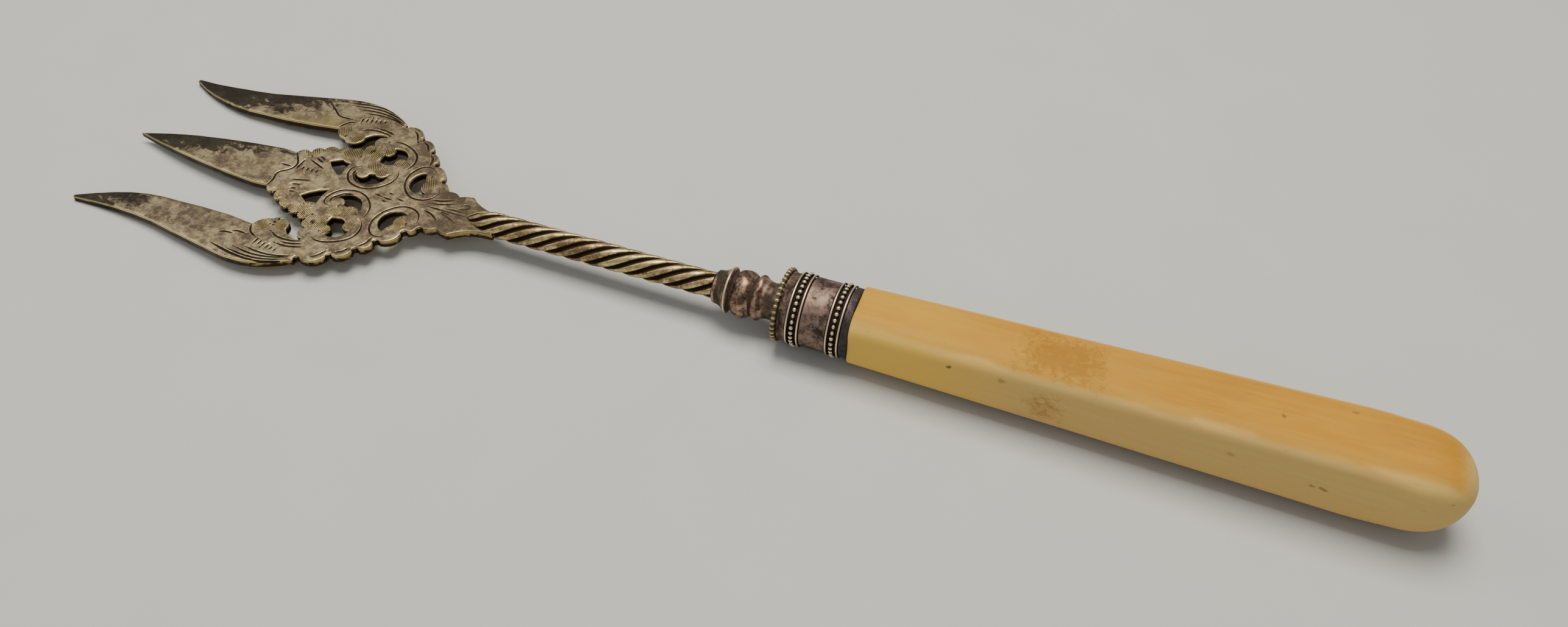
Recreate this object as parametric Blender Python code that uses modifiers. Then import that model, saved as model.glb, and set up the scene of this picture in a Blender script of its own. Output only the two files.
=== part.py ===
"""Antique serving fork: a pierced three-tine head, a twisted stem, a turned knop, a beaded ferrule, a squared handle.

The fork lies on a table as it is put down, on its tine tips and the rim of its ferrule. X runs from the tips to
the butt, Y across the head and Z up. The origin is on the table, under the middle of the length.
"""

import math

import bmesh
import bpy
import numpy as np

# Lengths along the fork, from the tine tips to the butt, in metres
HEAD_LENGTH = 0.0685
STEM_LENGTH = 0.0374
KNOP_LENGTH = 0.0108
CAP_THICKNESS = 0.0009
SLEEVE_LENGTH = 0.0112
HANDLE_LENGTH = 0.0892

# Head
HEAD_WIDTH = 0.0410
PLATE_THICKNESS = 0.0015
NECK_RISE = 0.0002
HEAD_BEND = math.radians(1.3)
NOTCH_WIDTH = 0.0010

# Twisted stem
STEM_RADIUS = 0.0021
STEM_LAP = 0.0055
RIB_COUNT = 6
RIB_PITCH = 0.0034
RIB_START = 0.0006
RIB_DEPTH = 0.0005
NOSE_BLUNTNESS = 0.25

# Knop
KNOP_RADIUS = 0.0038

# Tang, its socket in the stem and its bore in the handle
TANG_RADIUS = 0.0012
TANG_REACH = 0.0480
SOCKET_DEPTH = 0.0040
BORE_RADIUS = 0.0023

# Ferrule: a sleeve with a cove behind its beaded rim and a groove for each band of three wires
SLEEVE_RADIUS = 0.00545
SLEEVE_WALL = 0.0007
GROOVE_DEPTH = 0.0003
COVE_DEPTH = 0.0002
BAND_INSET = 0.00245
WIRE_SPACING = 0.00088
WIRE_RADIUS = 0.00022
BEAD_RADIUS = 0.0003
BAND_BEADS = 36
RIM_BEAD_RADIUS = 0.00038
RIM_OVERHANG = 0.00045
RIM_BEADS = 38

# Handle: a rounded rectangle that grows from the ferrule to the butt
FRONT_WIDTH = 0.0104
FRONT_HEIGHT = 0.0102
FRONT_CORNER = 0.0034
BUTT_WIDTH = 0.0127
BUTT_HEIGHT = 0.0126
BUTT_CORNER = 0.0026
BUTT_ROUND = 0.0080
BUTT_SQUARENESS = 2.3
BUTT_FLAT = 0.08
FRONT_EASE = 0.0003

# Clearance between pieces that are fixed together, and the fineness of curves
FIT_GAP = 0.0001
CURVE_TOLERANCE = 0.00004
WELD_DISTANCE = 0.00001
SHARP_ANGLE = math.radians(35)
ROUND_STEPS = 40
CORNER_POINTS = 7
COVE_POINTS = 4
BUTT_RINGS = 10
POINTS_PER_RIB = 6
RINGS_PER_RIB = 2.6
BEAD_SHAPE = [0.44, 1.0, 1.0]

# Places along the fork's axis, from the middle of its length
TOTAL_LENGTH = HEAD_LENGTH + STEM_LENGTH + KNOP_LENGTH + CAP_THICKNESS + SLEEVE_LENGTH + HANDLE_LENGTH
TIP_X = -TOTAL_LENGTH / 2
NECK_X = TIP_X + HEAD_LENGTH
KNOP_X = NECK_X + STEM_LENGTH
CAP_X = KNOP_X + KNOP_LENGTH
SLEEVE_X = CAP_X + CAP_THICKNESS
HANDLE_X = SLEEVE_X + SLEEVE_LENGTH
BUTT_X = HANDLE_X + HANDLE_LENGTH

# The head bends down from the axis at its neck. These are the places of the rim's wire and of the tips' lower edge.
RIM_X = SLEEVE_X - FIT_GAP - RIM_BEAD_RADIUS
RIM_RADIUS = SLEEVE_RADIUS + RIM_OVERHANG - RIM_BEAD_RADIUS
PLATE_LENGTH = HEAD_LENGTH / math.cos(HEAD_BEND)
TIP_Z = NECK_RISE - PLATE_THICKNESS - HEAD_LENGTH * math.tan(HEAD_BEND)

# Half of the head's outline, drawn in millimetres back from the tips and out from the axis. The third number of a
# corner is the swell of the run to the next one: the rise of its arc over half its chord, outwards if positive.
MIDDLE_TINE = [(0.0, 0.0, 0.057), (25.5, 4.5, 0.03)]
LEAF_LOBES = [(28.2, 4.3), (30.4, 5.2), (32.1, 6.7), (34.3, 7.6), (36.4, 8.0), (38.3, 8.9), (39.4, 10.6)]
LEAF_SWELL = 0.6
SLIT = [(39.4, 10.6, 0.6), (39.8, 13.0, -0.9), (40.2, 13.4, -0.3)]
CURLED_LEAF = [(36.8, 12.0, 0.8), (33.4, 10.5, 0.33)]
OUTER_TINE = [
    (31.0, 12.6, 0.044),
    (16.0, 11.65, 0.16),
    (0.3, 15.85, 0.8),
    (0.3, 16.65, -0.06),
    (15.0, 17.1, 0.005),
    (29.0, 20.15, 0.208),
]
SCALLOPS = [(42.1, 17.15), (46.6, 15.05), (49.8, 12.45), (51.9, 9.75), (55.1, 6.5), (56.8, 4.4)]
SCALLOP_SWELL = 0.42
NOTCH_SWELL = 1.15
NECK = [(56.8, 4.4, 0.35), (59.4, 3.95, 0.12), (61.7, 4.6, -0.16), (66.4, 2.35, 0.0), (68.5, 2.3, 0.0)]

# The piercings of that half, drawn the same way and walked clockwise
LEAF_POCKET = [(34.6, 4.4, 0.0), (36.3, 5.5, -0.25), (38.0, 5.2, -0.15), (38.3, 1.6, 0.12)]
INNER_SCROLL = [(39.9, 3.7, 0.0), (40.15, 3.6, -1.0), (42.4, 4.0, 0.0), (43.2, 4.2, -0.65), (45.6, 4.9, 0.97)]
OUTER_SCROLL = [
    (43.2, 11.0, 0.5),
    (46.5, 9.0, -0.7),
    (44.9, 7.5, 0.2),
    (43.8, 6.9, 0.0),
    (42.3, 7.2, 0.1),
    (42.2, 8.9, -0.8),
]
RING_SCROLL = [(51.4, 7.3, -0.15), (52.3, 5.4, -0.55), (53.6, 2.7, 1.1)]
PIERCINGS = [LEAF_POCKET, INNER_SCROLL, OUTER_SCROLL, RING_SCROLL]

# The knop's profile, drawn in millimetres along the axis and out from it, with the same swells
KNOP_PROFILE = [
    (0.0, 2.1, 0.3),
    (0.35, 2.62, -0.05),
    (1.5, 2.9, -0.25),
    (2.35, 3.62, 0.3),
    (2.75, 3.6, 0.0),
    (3.15, 3.1, 0.42),
    (6.35, 3.15, 0.0),
    (6.55, 3.1, 0.6),
    (8.2, 3.08, -0.22),
    (10.7, 3.3, 0.0),
]


def clear_scene():
    for obj in list(bpy.data.objects):
        bpy.data.objects.remove(obj, do_unlink=True)


def collection(name):
    made = bpy.data.collections.new(name)
    bpy.context.scene.collection.children.link(made)
    return made


def material(name, colour, roughness, metallic):
    made = bpy.data.materials.new(name)
    made.use_nodes = True
    shader = made.node_tree.nodes["Principled BSDF"]
    shader.inputs["Base Color"].default_value = (*colour, 1.0)
    shader.inputs["Roughness"].default_value = roughness
    shader.inputs["Metallic"].default_value = metallic
    made.diffuse_color = (*colour, 1.0)
    return made


def piece(name, data, finish, group, parent):
    """One named object of the fork, with its finish, under the empty that places it."""
    data.materials.append(finish)
    made = bpy.data.objects.new(name, data)
    made.parent = parent
    group.objects.link(made)
    return made


def frame_empty(name, group, parent, location, turn):
    made = bpy.data.objects.new(name, None)
    made.parent = parent
    made.location = location
    made.rotation_euler = (0.0, turn, 0.0)
    group.objects.link(made)
    return made


def lie_on_table():
    """Where the axis lies when the tips and the lower of rim and butt touch the table: its place and its tilt.

    A round of radius r at (x, z) from the tips touches when distance * sin(tilt + its own angle) = r.
    """

    def tilt_for(along, below, radius):
        out = along - TIP_X
        up = -below - TIP_Z
        return math.asin(radius / math.hypot(out, up)) - math.atan2(up, out)

    rim_tilt = tilt_for(RIM_X, RIM_RADIUS, RIM_BEAD_RADIUS)
    butt_tilt = tilt_for(BUTT_X - BUTT_ROUND, BUTT_HEIGHT / 2, 0.0)
    tilt = max(rim_tilt, butt_tilt)
    rise = -TIP_X * math.sin(tilt) - TIP_Z * math.cos(tilt)
    lean = PLATE_THICKNESS * math.sin(HEAD_BEND + tilt)
    front = TIP_X * math.cos(tilt) - TIP_Z * math.sin(tilt) - lean
    rear = BUTT_X * math.cos(tilt)
    return (-(front + rear) / 2, 0.0, rise), tilt


def arc(start, end, swell, tolerance):
    """Points from start up to, not including, end: an arc that rises swell half-chords to the left of the walk."""
    chord = end - start
    turn = 4 * math.atan(swell)
    if abs(turn) < 1e-6:
        return np.array([start])
    radius = abs(chord) / (2 * math.sin(abs(turn) / 2))
    step = 2 * math.acos(1 - min(tolerance / radius, 0.5))
    steps = max(1, math.ceil(abs(turn) / step))
    share = np.arange(steps) / steps
    return start + chord * (1 - np.exp(-1j * turn * share)) / (1 - np.exp(-1j * turn))


def walk(corners, closed):
    """The points, as complex numbers, of an outline drawn in millimetres as corners with swells."""
    tolerance = CURVE_TOLERANCE * 1000
    ends = corners[1:] + corners[:1] if closed else corners[1:]
    runs = [
        arc(complex(x, y), complex(end[0], end[1]), swell, tolerance)
        for (x, y, swell), end in zip(corners, ends)
    ]
    if not closed:
        runs.append(np.array([complex(corners[-1][0], corners[-1][1])]))
    return np.concatenate(runs)


def scalloped(notches, notch_width):
    """Rounded scallops from notch to notch, with a small half-round cut at each inner notch."""
    corners = []
    for (x0, y0), (x1, y1) in zip(notches, notches[1:]):
        length = math.hypot(x1 - x0, y1 - y0)
        in_x = (x1 - x0) / length * notch_width / 2
        in_y = (y1 - y0) / length * notch_width / 2
        corners.append((x0 + in_x, y0 + in_y, SCALLOP_SWELL))
        corners.append((x1 - in_x, y1 - in_y, -NOTCH_SWELL))
    return corners


def half_outline():
    lobes = [(x, y, LEAF_SWELL) for x, y in LEAF_LOBES[:-1]]
    edge = scalloped(SCALLOPS, NOTCH_WIDTH * 1000)
    last_x, last_y, _ = edge[-1]
    edge[-1] = (last_x, last_y, 0.0)
    first_x, first_y = SCALLOPS[0]
    half_notch = NOTCH_WIDTH * 1000 / 2
    into_notch = (first_x - half_notch, first_y + half_notch / 2, -NOTCH_SWELL)
    return walk(MIDDLE_TINE + lobes + SLIT + CURLED_LEAF + OUTER_TINE + [into_notch] + edge + NECK, False)


def add_spline(curve, points):
    spline = curve.splines.new("POLY")
    spline.points.add(len(points) - 1)
    flat = np.zeros((len(points), 4))
    flat[:, 0] = points.real
    flat[:, 1] = points.imag
    flat[:, 3] = 1.0
    spline.points.foreach_set("co", flat.ravel())
    spline.use_cyclic_u = True


def head_curve():
    """The pierced plate as a filled outline, stretched from the drawing to the head's own length and width."""
    half = half_outline()
    along = PLATE_LENGTH / half.real.max()
    across = HEAD_WIDTH / 2 / half.imag.max()
    curve = bpy.data.curves.new("head_outline", "CURVE")
    curve.dimensions = "2D"
    curve.fill_mode = "BOTH"
    curve.extrude = PLATE_THICKNESS / 2
    outline = np.concatenate([half, half[:0:-1].conj()])
    holes = [walk(corners, True) for corners in PIERCINGS]
    for points in [outline] + holes + [hole[::-1].conj() for hole in holes]:
        add_spline(curve, points.real * along + 1j * points.imag * across)
    return curve


def mesh_of_curve(name, curve, group):
    """The curve's evaluated solid as a mesh, with its caps welded to its walls and every face turned out."""
    guide = bpy.data.objects.new(name, curve)
    group.objects.link(guide)
    graph = bpy.context.evaluated_depsgraph_get()
    mesh = bpy.data.meshes.new_from_object(guide.evaluated_get(graph))
    bpy.data.objects.remove(guide, do_unlink=True)
    work = bmesh.new()
    work.from_mesh(mesh)
    bmesh.ops.remove_doubles(work, verts=work.verts, dist=WELD_DISTANCE)
    bmesh.ops.recalc_face_normals(work, faces=work.faces)
    work.to_mesh(mesh)
    work.free()
    mesh.name = name
    return mesh


def loft(name, rings):
    """A closed mesh through rings of equally many points, with a flat cap on the first and last ring."""
    rings = np.array(rings)
    count, around = rings.shape[:2]
    first = np.arange(count - 1)[:, None] * around + np.arange(around)[None, :]
    after = np.arange(count - 1)[:, None] * around + (np.arange(around)[None, :] + 1) % around
    quads = np.stack([first, after, after + around, first + around], axis=-1).reshape(-1, 4)
    caps = [list(range(around))[::-1], list(range((count - 1) * around, count * around))]
    mesh = bpy.data.meshes.new(name)
    mesh.from_pydata(rings.reshape(-1, 3), [], quads.tolist() + caps)
    mesh.shade_smooth()
    mesh.set_sharp_from_angle(angle=SHARP_ANGLE)
    return mesh


def ring(radius, angles, along):
    """A ring about the axis, seen from the butt with its angles running the way that faces outwards in a loft."""
    radius = np.broadcast_to(radius, angles.shape)
    return np.stack([np.full(angles.shape, along), -radius * np.cos(angles), radius * np.sin(angles)], axis=-1)


def twisted_stem():
    """Helical ribs on a rod, with a rounded nose over the neck and a socket for the tang behind.

    Around the rod the radius falls from each rib's crest by the rib depth, as 1 - |sin(half the rib angle)|.
    """
    around = RIB_COUNT * POINTS_PER_RIB
    angles = np.arange(around) * 2 * math.pi / around
    valley = 1 - np.abs(np.sin(RIB_COUNT * angles / 2))
    lead = RIB_COUNT * RIB_PITCH
    start = NECK_X - STEM_LAP
    end = KNOP_X - FIT_GAP
    steps = math.ceil((end - start) / (RIB_PITCH / RINGS_PER_RIB))
    rings = []
    for along in np.linspace(start, end, steps + 1):
        nose = min(1.0, NOSE_BLUNTNESS + (along - start) / STEM_LAP)
        fullness = math.sqrt(1 - (1 - nose) ** 2)
        turned_to = angles + 2 * math.pi * (along - NECK_X - RIB_START) / lead
        rings.append(ring(fullness * (STEM_RADIUS - RIB_DEPTH * valley), turned_to, along))
    socket = TANG_RADIUS + FIT_GAP
    rings.append(ring(socket, turned_to, end))
    rings.append(ring(socket, turned_to, KNOP_X - SOCKET_DEPTH))
    return loft("twisted_stem", rings)


def section(width, height, corner):
    """Points round a rounded rectangle: a quarter circle at each corner, then three points along the flat after it."""
    quarter = np.linspace(0, math.pi / 2, CORNER_POINTS)
    across = width / 2 - corner
    up = height / 2 - corner
    centres = [(across, up), (-across, up), (-across, -up), (across, -up)]
    corners = [
        complex(*centre) + corner * np.exp(1j * (quarter + turn * math.pi / 2))
        for turn, centre in enumerate(centres)
    ]
    share = np.array([0.25, 0.5, 0.75])
    runs = []
    for here, after in zip(corners, corners[1:] + corners[:1]):
        runs.append(here)
        runs.append(here[-1] + (after[0] - here[-1]) * share)
    points = np.concatenate(runs)
    return np.stack([points.real, points.imag], axis=-1)


def handle():
    """One loft from the bottom of the tang's bore, out over the tenon and the shoulder, to the round butt.

    The butt closes as a superellipse: along ** squareness + section ** squareness = 1, down to a small flat.
    """
    front = section(FRONT_WIDTH - 2 * FRONT_EASE, FRONT_HEIGHT - 2 * FRONT_EASE, FRONT_CORNER - FRONT_EASE)
    angles = np.arctan2(front[:, 1], -front[:, 0])
    tenon = SLEEVE_RADIUS - SLEEVE_WALL - FIT_GAP
    tenon_front = SLEEVE_X + FIT_GAP
    shoulder = HANDLE_X + FIT_GAP
    rings = [
        ring(BORE_RADIUS, angles, HANDLE_X + TANG_REACH + FIT_GAP),
        ring(BORE_RADIUS, angles, tenon_front),
        ring(tenon, angles, tenon_front),
        ring(tenon, angles, shoulder),
    ]

    def body_ring(along, inset, scale):
        share = (along - HANDLE_X) / (HANDLE_LENGTH - BUTT_ROUND)
        grown = min(share, 1.0)
        width = FRONT_WIDTH + (BUTT_WIDTH - FRONT_WIDTH) * grown - 2 * inset
        height = FRONT_HEIGHT + (BUTT_HEIGHT - FRONT_HEIGHT) * grown - 2 * inset
        corner = FRONT_CORNER + (BUTT_CORNER - FRONT_CORNER) * grown - inset
        flat = section(width * scale, height * scale, corner * scale)
        return np.column_stack([np.full(len(flat), along), flat[:, 0], flat[:, 1]])

    rings.append(body_ring(shoulder, FRONT_EASE, 1.0))
    rings.append(body_ring(shoulder + FRONT_EASE, 0.0, 1.0))
    round_start = BUTT_X - BUTT_ROUND
    power = 2 / BUTT_SQUARENESS
    turns = np.linspace(0, math.acos(BUTT_FLAT ** (1 / power)), BUTT_RINGS)
    for turn in turns:
        share = (math.sin(turn) / math.sin(turns[-1])) ** power
        rings.append(body_ring(round_start + BUTT_ROUND * share, 0.0, math.cos(turn) ** power))
    return loft("handle", rings)


def turned(name, profile, finish, group, parent):
    """A turned ring: its closed profile of (along, radius) points, walked with the outer side first, spun."""
    points = [(radius, 0.0, along) for along, radius in reversed(profile)]
    edges = [(i, (i + 1) % len(points)) for i in range(len(points))]
    mesh = bpy.data.meshes.new(name)
    mesh.from_pydata(points, edges, [])
    made = piece(name, mesh, finish, group, parent)
    spin = made.modifiers.new("spin", "SCREW")
    spin.axis = "Z"
    spin.steps = ROUND_STEPS
    spin.render_steps = ROUND_STEPS
    spin.use_merge_vertices = True
    spin.merge_threshold = WELD_DISTANCE
    spin.use_smooth_shade = True
    return made


def wire_ring(name, centre_radius, wire_radius, beads, along, finish, group, parent):
    """A wire bent to a ring, plain or, with beads, swelling and narrowing once for each bead."""
    count = beads * len(BEAD_SHAPE) if beads else ROUND_STEPS
    angles = np.arange(count) * 2 * math.pi / count
    curve = bpy.data.curves.new(name, "CURVE")
    curve.dimensions = "3D"
    curve.bevel_depth = wire_radius
    curve.bevel_resolution = 1
    add_spline(curve, centre_radius * np.exp(1j * angles))
    if beads:
        curve.splines[0].points.foreach_set("radius", np.tile(BEAD_SHAPE, beads))
    made = piece(name, curve, finish, group, parent)
    made.location = (0.0, 0.0, along)
    return made


def sleeve_profile(bands):
    """The sleeve's outer side with a hollow cove in front and a groove under each band, then its bore."""
    half_groove = WIRE_SPACING + WIRE_RADIUS + FIT_GAP
    floor = SLEEVE_RADIUS - GROOVE_DEPTH
    start = SLEEVE_X
    end = HANDLE_X - FIT_GAP
    cove = min(bands) - half_groove - start
    outer = [
        (start + cove * share, SLEEVE_RADIUS - COVE_DEPTH * math.sin(math.pi * share))
        for share in np.linspace(0, 1, COVE_POINTS)[:-1]
    ]
    for band in bands:
        outer.append((band - half_groove, SLEEVE_RADIUS))
        outer.append((band - half_groove, floor))
        outer.append((band + half_groove, floor))
        outer.append((band + half_groove, SLEEVE_RADIUS))
    outer.append((end, SLEEVE_RADIUS))
    bore = SLEEVE_RADIUS - SLEEVE_WALL
    return outer + [(end, bore), (start, bore)]


def tube_profile(start, end, outer, inner):
    return [(start, outer), (end, outer), (end, inner), (start, inner)]


def knop_profile():
    """The turned outer side, stretched from the drawing to the knop's own length and radius, then its bore."""
    drawn = walk(KNOP_PROFILE, False)
    along = (KNOP_LENGTH - FIT_GAP) / drawn.real.max()
    out = KNOP_RADIUS / drawn.imag.max()
    outer = [(KNOP_X + point.real * along, point.imag * out) for point in drawn]
    bore = TANG_RADIUS + FIT_GAP
    return outer + [(outer[-1][0], bore), (outer[0][0], bore)]


def add_tang(finish, group, parent):
    start = KNOP_X - SOCKET_DEPTH + FIT_GAP
    end = HANDLE_X + TANG_REACH
    bpy.ops.mesh.primitive_cylinder_add(vertices=ROUND_STEPS // 2, radius=TANG_RADIUS, depth=end - start)
    rod = bpy.context.object
    mesh = rod.data
    mesh.name = "tang"
    bpy.data.objects.remove(rod, do_unlink=True)
    made = piece("tang", mesh, finish, group, parent)
    made.location = (0.0, 0.0, (start + end) / 2)


def cut_lap(stem, group, parent):
    """Cuts the stem's front half away where it lies on the neck, with the fit gap above and behind the plate."""
    length = STEM_LAP * 2
    depth = STEM_RADIUS * 4
    width = STEM_RADIUS * 4
    bpy.ops.mesh.primitive_cube_add(size=1.0)
    cutter = bpy.context.object
    cutter.name = "neck_lap"
    for owner in list(cutter.users_collection):
        owner.objects.unlink(cutter)
    group.objects.link(cutter)
    cutter.parent = parent
    cutter.scale = (length, width, depth)
    cutter.location = (
        PLATE_LENGTH + FIT_GAP - length / 2,
        0.0,
        PLATE_THICKNESS + FIT_GAP - depth / 2,
    )
    cutter.hide_render = True
    cutter.display_type = "WIRE"
    lap = stem.modifiers.new("lap", "BOOLEAN")
    lap.operation = "DIFFERENCE"
    lap.object = cutter


def build():
    clear_scene()
    parts = collection("serving_fork")
    cutters = collection("cutters")
    plate = material("tarnished_plate", (0.48, 0.42, 0.30), 0.38, 1.0)
    rod = material("brassy_plate", (0.50, 0.41, 0.24), 0.35, 1.0)
    knop_metal = material("dark_plate", (0.36, 0.29, 0.24), 0.36, 1.0)
    bead_metal = material("worn_bead_plate", (0.68, 0.60, 0.44), 0.30, 1.0)
    steel = material("tang_steel", (0.42, 0.41, 0.40), 0.45, 1.0)
    bone = material("honey_bone", (0.66, 0.46, 0.17), 0.42, 0.0)
    resin = material("cutler_resin", (0.16, 0.09, 0.05), 0.70, 0.0)

    place, tilt = lie_on_table()
    fork_frame = frame_empty("fork_frame", parts, None, place, -tilt)
    head_frame = frame_empty("head_frame", parts, fork_frame, (TIP_X, 0.0, TIP_Z), -HEAD_BEND)
    axis_frame = frame_empty("axis_frame", parts, fork_frame, (0.0, 0.0, 0.0), math.pi / 2)

    head = piece("fork_head", mesh_of_curve("fork_head", head_curve(), parts), plate, parts, head_frame)
    head.location = (0.0, 0.0, PLATE_THICKNESS / 2)
    stem = piece("twisted_stem", twisted_stem(), rod, parts, fork_frame)
    cut_lap(stem, cutters, head_frame)
    piece("handle", handle(), bone, parts, fork_frame)

    turned("baluster_knop", knop_profile(), knop_metal, parts, axis_frame)
    cap_radius = RIM_RADIUS - RIM_BEAD_RADIUS - FIT_GAP
    cap = tube_profile(CAP_X, SLEEVE_X - FIT_GAP, cap_radius, TANG_RADIUS + FIT_GAP)
    turned("ferrule_cap", cap, knop_metal, parts, axis_frame)
    bands = {"front_band": SLEEVE_X + BAND_INSET, "rear_band": HANDLE_X - BAND_INSET}
    turned("ferrule_sleeve", sleeve_profile(bands.values()), knop_metal, parts, axis_frame)
    resin_tube = tube_profile(
        SLEEVE_X + FIT_GAP, HANDLE_X + TANG_REACH, BORE_RADIUS - FIT_GAP, TANG_RADIUS + FIT_GAP
    )
    turned("tang_cement", resin_tube, resin, parts, axis_frame)
    add_tang(steel, parts, axis_frame)

    seat = SLEEVE_RADIUS - GROOVE_DEPTH + FIT_GAP
    for band, middle in bands.items():
        for edge, side in (("front", -1), ("rear", 1)):
            name = f"{band}_{edge}_wire"
            along = middle + side * WIRE_SPACING
            wire_ring(name, seat + WIRE_RADIUS, WIRE_RADIUS, 0, along, bead_metal, parts, axis_frame)
        beaded = f"{band}_bead_wire"
        wire_ring(beaded, seat + BEAD_RADIUS, BEAD_RADIUS, BAND_BEADS, middle, bead_metal, parts, axis_frame)
    wire_ring("rim_bead_wire", RIM_RADIUS, RIM_BEAD_RADIUS, RIM_BEADS, RIM_X, bead_metal, parts, axis_frame)


build()
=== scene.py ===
# %% [markdown]
# # Dressing a serving fork
# This lesson takes the packed model of an old bread fork and gives every piece its real surface: an
# engraved and pierced plate, a twisted stem, a turned knop, a beaded ferrule and a bone handle. The packed
# model is a fixed frame. Nothing of it is moved. Each new piece is a surface worked out with numpy around
# the sizes read from that frame, and it stands in for one plain solid.

import bpy
import numpy as np
from mathutils import Matrix, Vector
from mathutils.geometry import delaunay_2d_cdt


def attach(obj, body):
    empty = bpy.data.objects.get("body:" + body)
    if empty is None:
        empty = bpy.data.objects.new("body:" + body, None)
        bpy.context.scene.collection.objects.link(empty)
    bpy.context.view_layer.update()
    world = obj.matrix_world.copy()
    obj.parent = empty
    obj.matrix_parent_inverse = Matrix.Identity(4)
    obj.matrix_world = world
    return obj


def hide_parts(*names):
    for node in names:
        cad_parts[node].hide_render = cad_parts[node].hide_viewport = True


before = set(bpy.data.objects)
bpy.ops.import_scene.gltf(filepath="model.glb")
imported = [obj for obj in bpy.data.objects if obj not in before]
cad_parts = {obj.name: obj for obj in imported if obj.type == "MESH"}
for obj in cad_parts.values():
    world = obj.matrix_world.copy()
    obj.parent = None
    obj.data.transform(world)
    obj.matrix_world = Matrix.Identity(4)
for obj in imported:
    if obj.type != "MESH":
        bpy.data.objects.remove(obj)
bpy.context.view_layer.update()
MM = 0.001
print("nodes in the frame:", ", ".join(sorted(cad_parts)))

# %% [markdown]
# ## Finding the fork's axis
# Stem, knop, ferrule and handle are all built about one straight line, the tang's. The fork lies tilted on
# the table, so that line isn't quite level. It could be typed in as an angle, but it is safer to measure
# it: the tang is a plain round rod, so the mean of its corners lies on the axis, and the direction in which
# the corners spread most is the axis itself.

# %% Measure the axis
# Corners that agree to this many decimals of a metre are one corner.
MERGE_DECIMALS = 7


def read_mesh(name):
    """A node's corner points, merged because its triangles are loose, and the triangles on them."""
    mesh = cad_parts[name].data
    places = np.empty(len(mesh.vertices) * 3, np.float32)
    mesh.vertices.foreach_get("co", places)
    corners = np.empty(len(mesh.loops), np.int32)
    mesh.loops.foreach_get("vertex_index", corners)
    places = places.reshape(-1, 3).astype(float).round(MERGE_DECIMALS)
    merged, number = np.unique(places, axis=0, return_inverse=True)
    return merged, number.ravel()[corners].reshape(-1, 3)


rod = read_mesh("tang")[0]
rod_middle = rod.mean(axis=0)
AXIS = np.linalg.svd(rod - rod_middle, full_matrices=False)[2][0]
AXIS = AXIS * np.sign(AXIS[0])
SIDE = np.array((0.0, 1.0, 0.0))
UP = np.cross(AXIS, SIDE)
ORIGIN = rod_middle - AXIS * rod_middle[0] / AXIS[0]


def on_axis(along, across, up):
    """Millimetres along, across and above the axis, as places in metres."""
    along, across, up = np.broadcast_arrays(along, across, up)
    return ORIGIN + MM * (along[..., None] * AXIS + across[..., None] * SIDE + up[..., None] * UP)


def from_axis(places):
    """Places in metres, as millimetres along, across and above the axis."""
    offset = (places - ORIGIN) / MM
    return offset @ AXIS, offset @ SIDE, offset @ UP


def reach_of(name):
    """Where a node starts and ends along the axis, and its greatest radius, in millimetres."""
    along, across, up = from_axis(read_mesh(name)[0])
    return along.min(), along.max(), np.hypot(across, up).max()


print("axis rises", round(float(np.degrees(np.arcsin(AXIS[2]))), 3), "degrees towards the butt")

# %% [markdown]
# ## Putting arrays into meshes
# Every piece ends in the same way: an array of places and arrays of faces go into a mesh, float marks go
# along as attributes for the finish to read, the piece is hung under the root body, and the plain solid it
# stands for is hidden. One helper does this, so that the later cells only have to work out shapes. Most
# pieces are rings of places, so a second helper joins rings and either closes them to a ring again or caps
# both ends.

# %% Mesh helpers


def placed(name, data):
    """A new object in the scene for a mesh, a lamp or a camera."""
    made = bpy.data.objects.new(name, data)
    bpy.context.scene.collection.objects.link(made)
    return made


def add_piece(name, node, slot, finish, places, faces, marks):
    """A smooth mesh from places and face arrays, with one float attribute for each mark."""
    mesh = bpy.data.meshes.new(name)
    mesh.vertices.add(len(places))
    mesh.vertices.foreach_set("co", places.astype(np.float32).ravel())
    sides = np.concatenate([np.full(len(face), face.shape[1]) for face in faces])
    order = np.concatenate([face.ravel() for face in faces])
    mesh.loops.add(len(order))
    mesh.loops.foreach_set("vertex_index", order.astype(np.int32))
    mesh.polygons.add(len(sides))
    mesh.polygons.foreach_set("loop_start", (np.cumsum(sides) - sides).astype(np.int32))
    mesh.update(calc_edges=True)
    mesh.shade_smooth()
    for mark, values in marks.items():
        layer = mesh.attributes.new(mark, "FLOAT", "POINT")
        layer.data.foreach_set("value", values.astype(np.float32).ravel())
    mesh.materials.append(finish)
    made = placed(name, mesh)
    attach(made, "root")
    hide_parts(node)
    print(f"{name}: {int((sides - 2).sum())} triangles, wrong faces: {mesh.validate(verbose=False)}")


def grid_quads(rows, columns, closed):
    """Quads of a grid that closes round its columns and, if closed, round its rows as well."""
    index = np.arange(rows * columns).reshape(rows, columns)
    beside = np.roll(index, -1, axis=1)
    above = np.roll(index, -1, axis=0)
    quads = np.stack([index, beside, np.roll(beside, -1, axis=0), above], axis=-1)
    return (quads if closed else quads[:-1]).reshape(-1, 4)


def end_fans(rows, columns):
    """Triangles from a grid's first and last ring to two poles, which are numbered after its points."""
    around = np.arange(columns)
    beside = np.roll(around, -1)
    last = (rows - 1) * columns
    pole = np.full(columns, rows * columns)
    front = np.stack([beside, around, pole], axis=-1)
    back = np.stack([last + around, last + beside, pole + 1], axis=-1)
    return np.concatenate([front, back])


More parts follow.
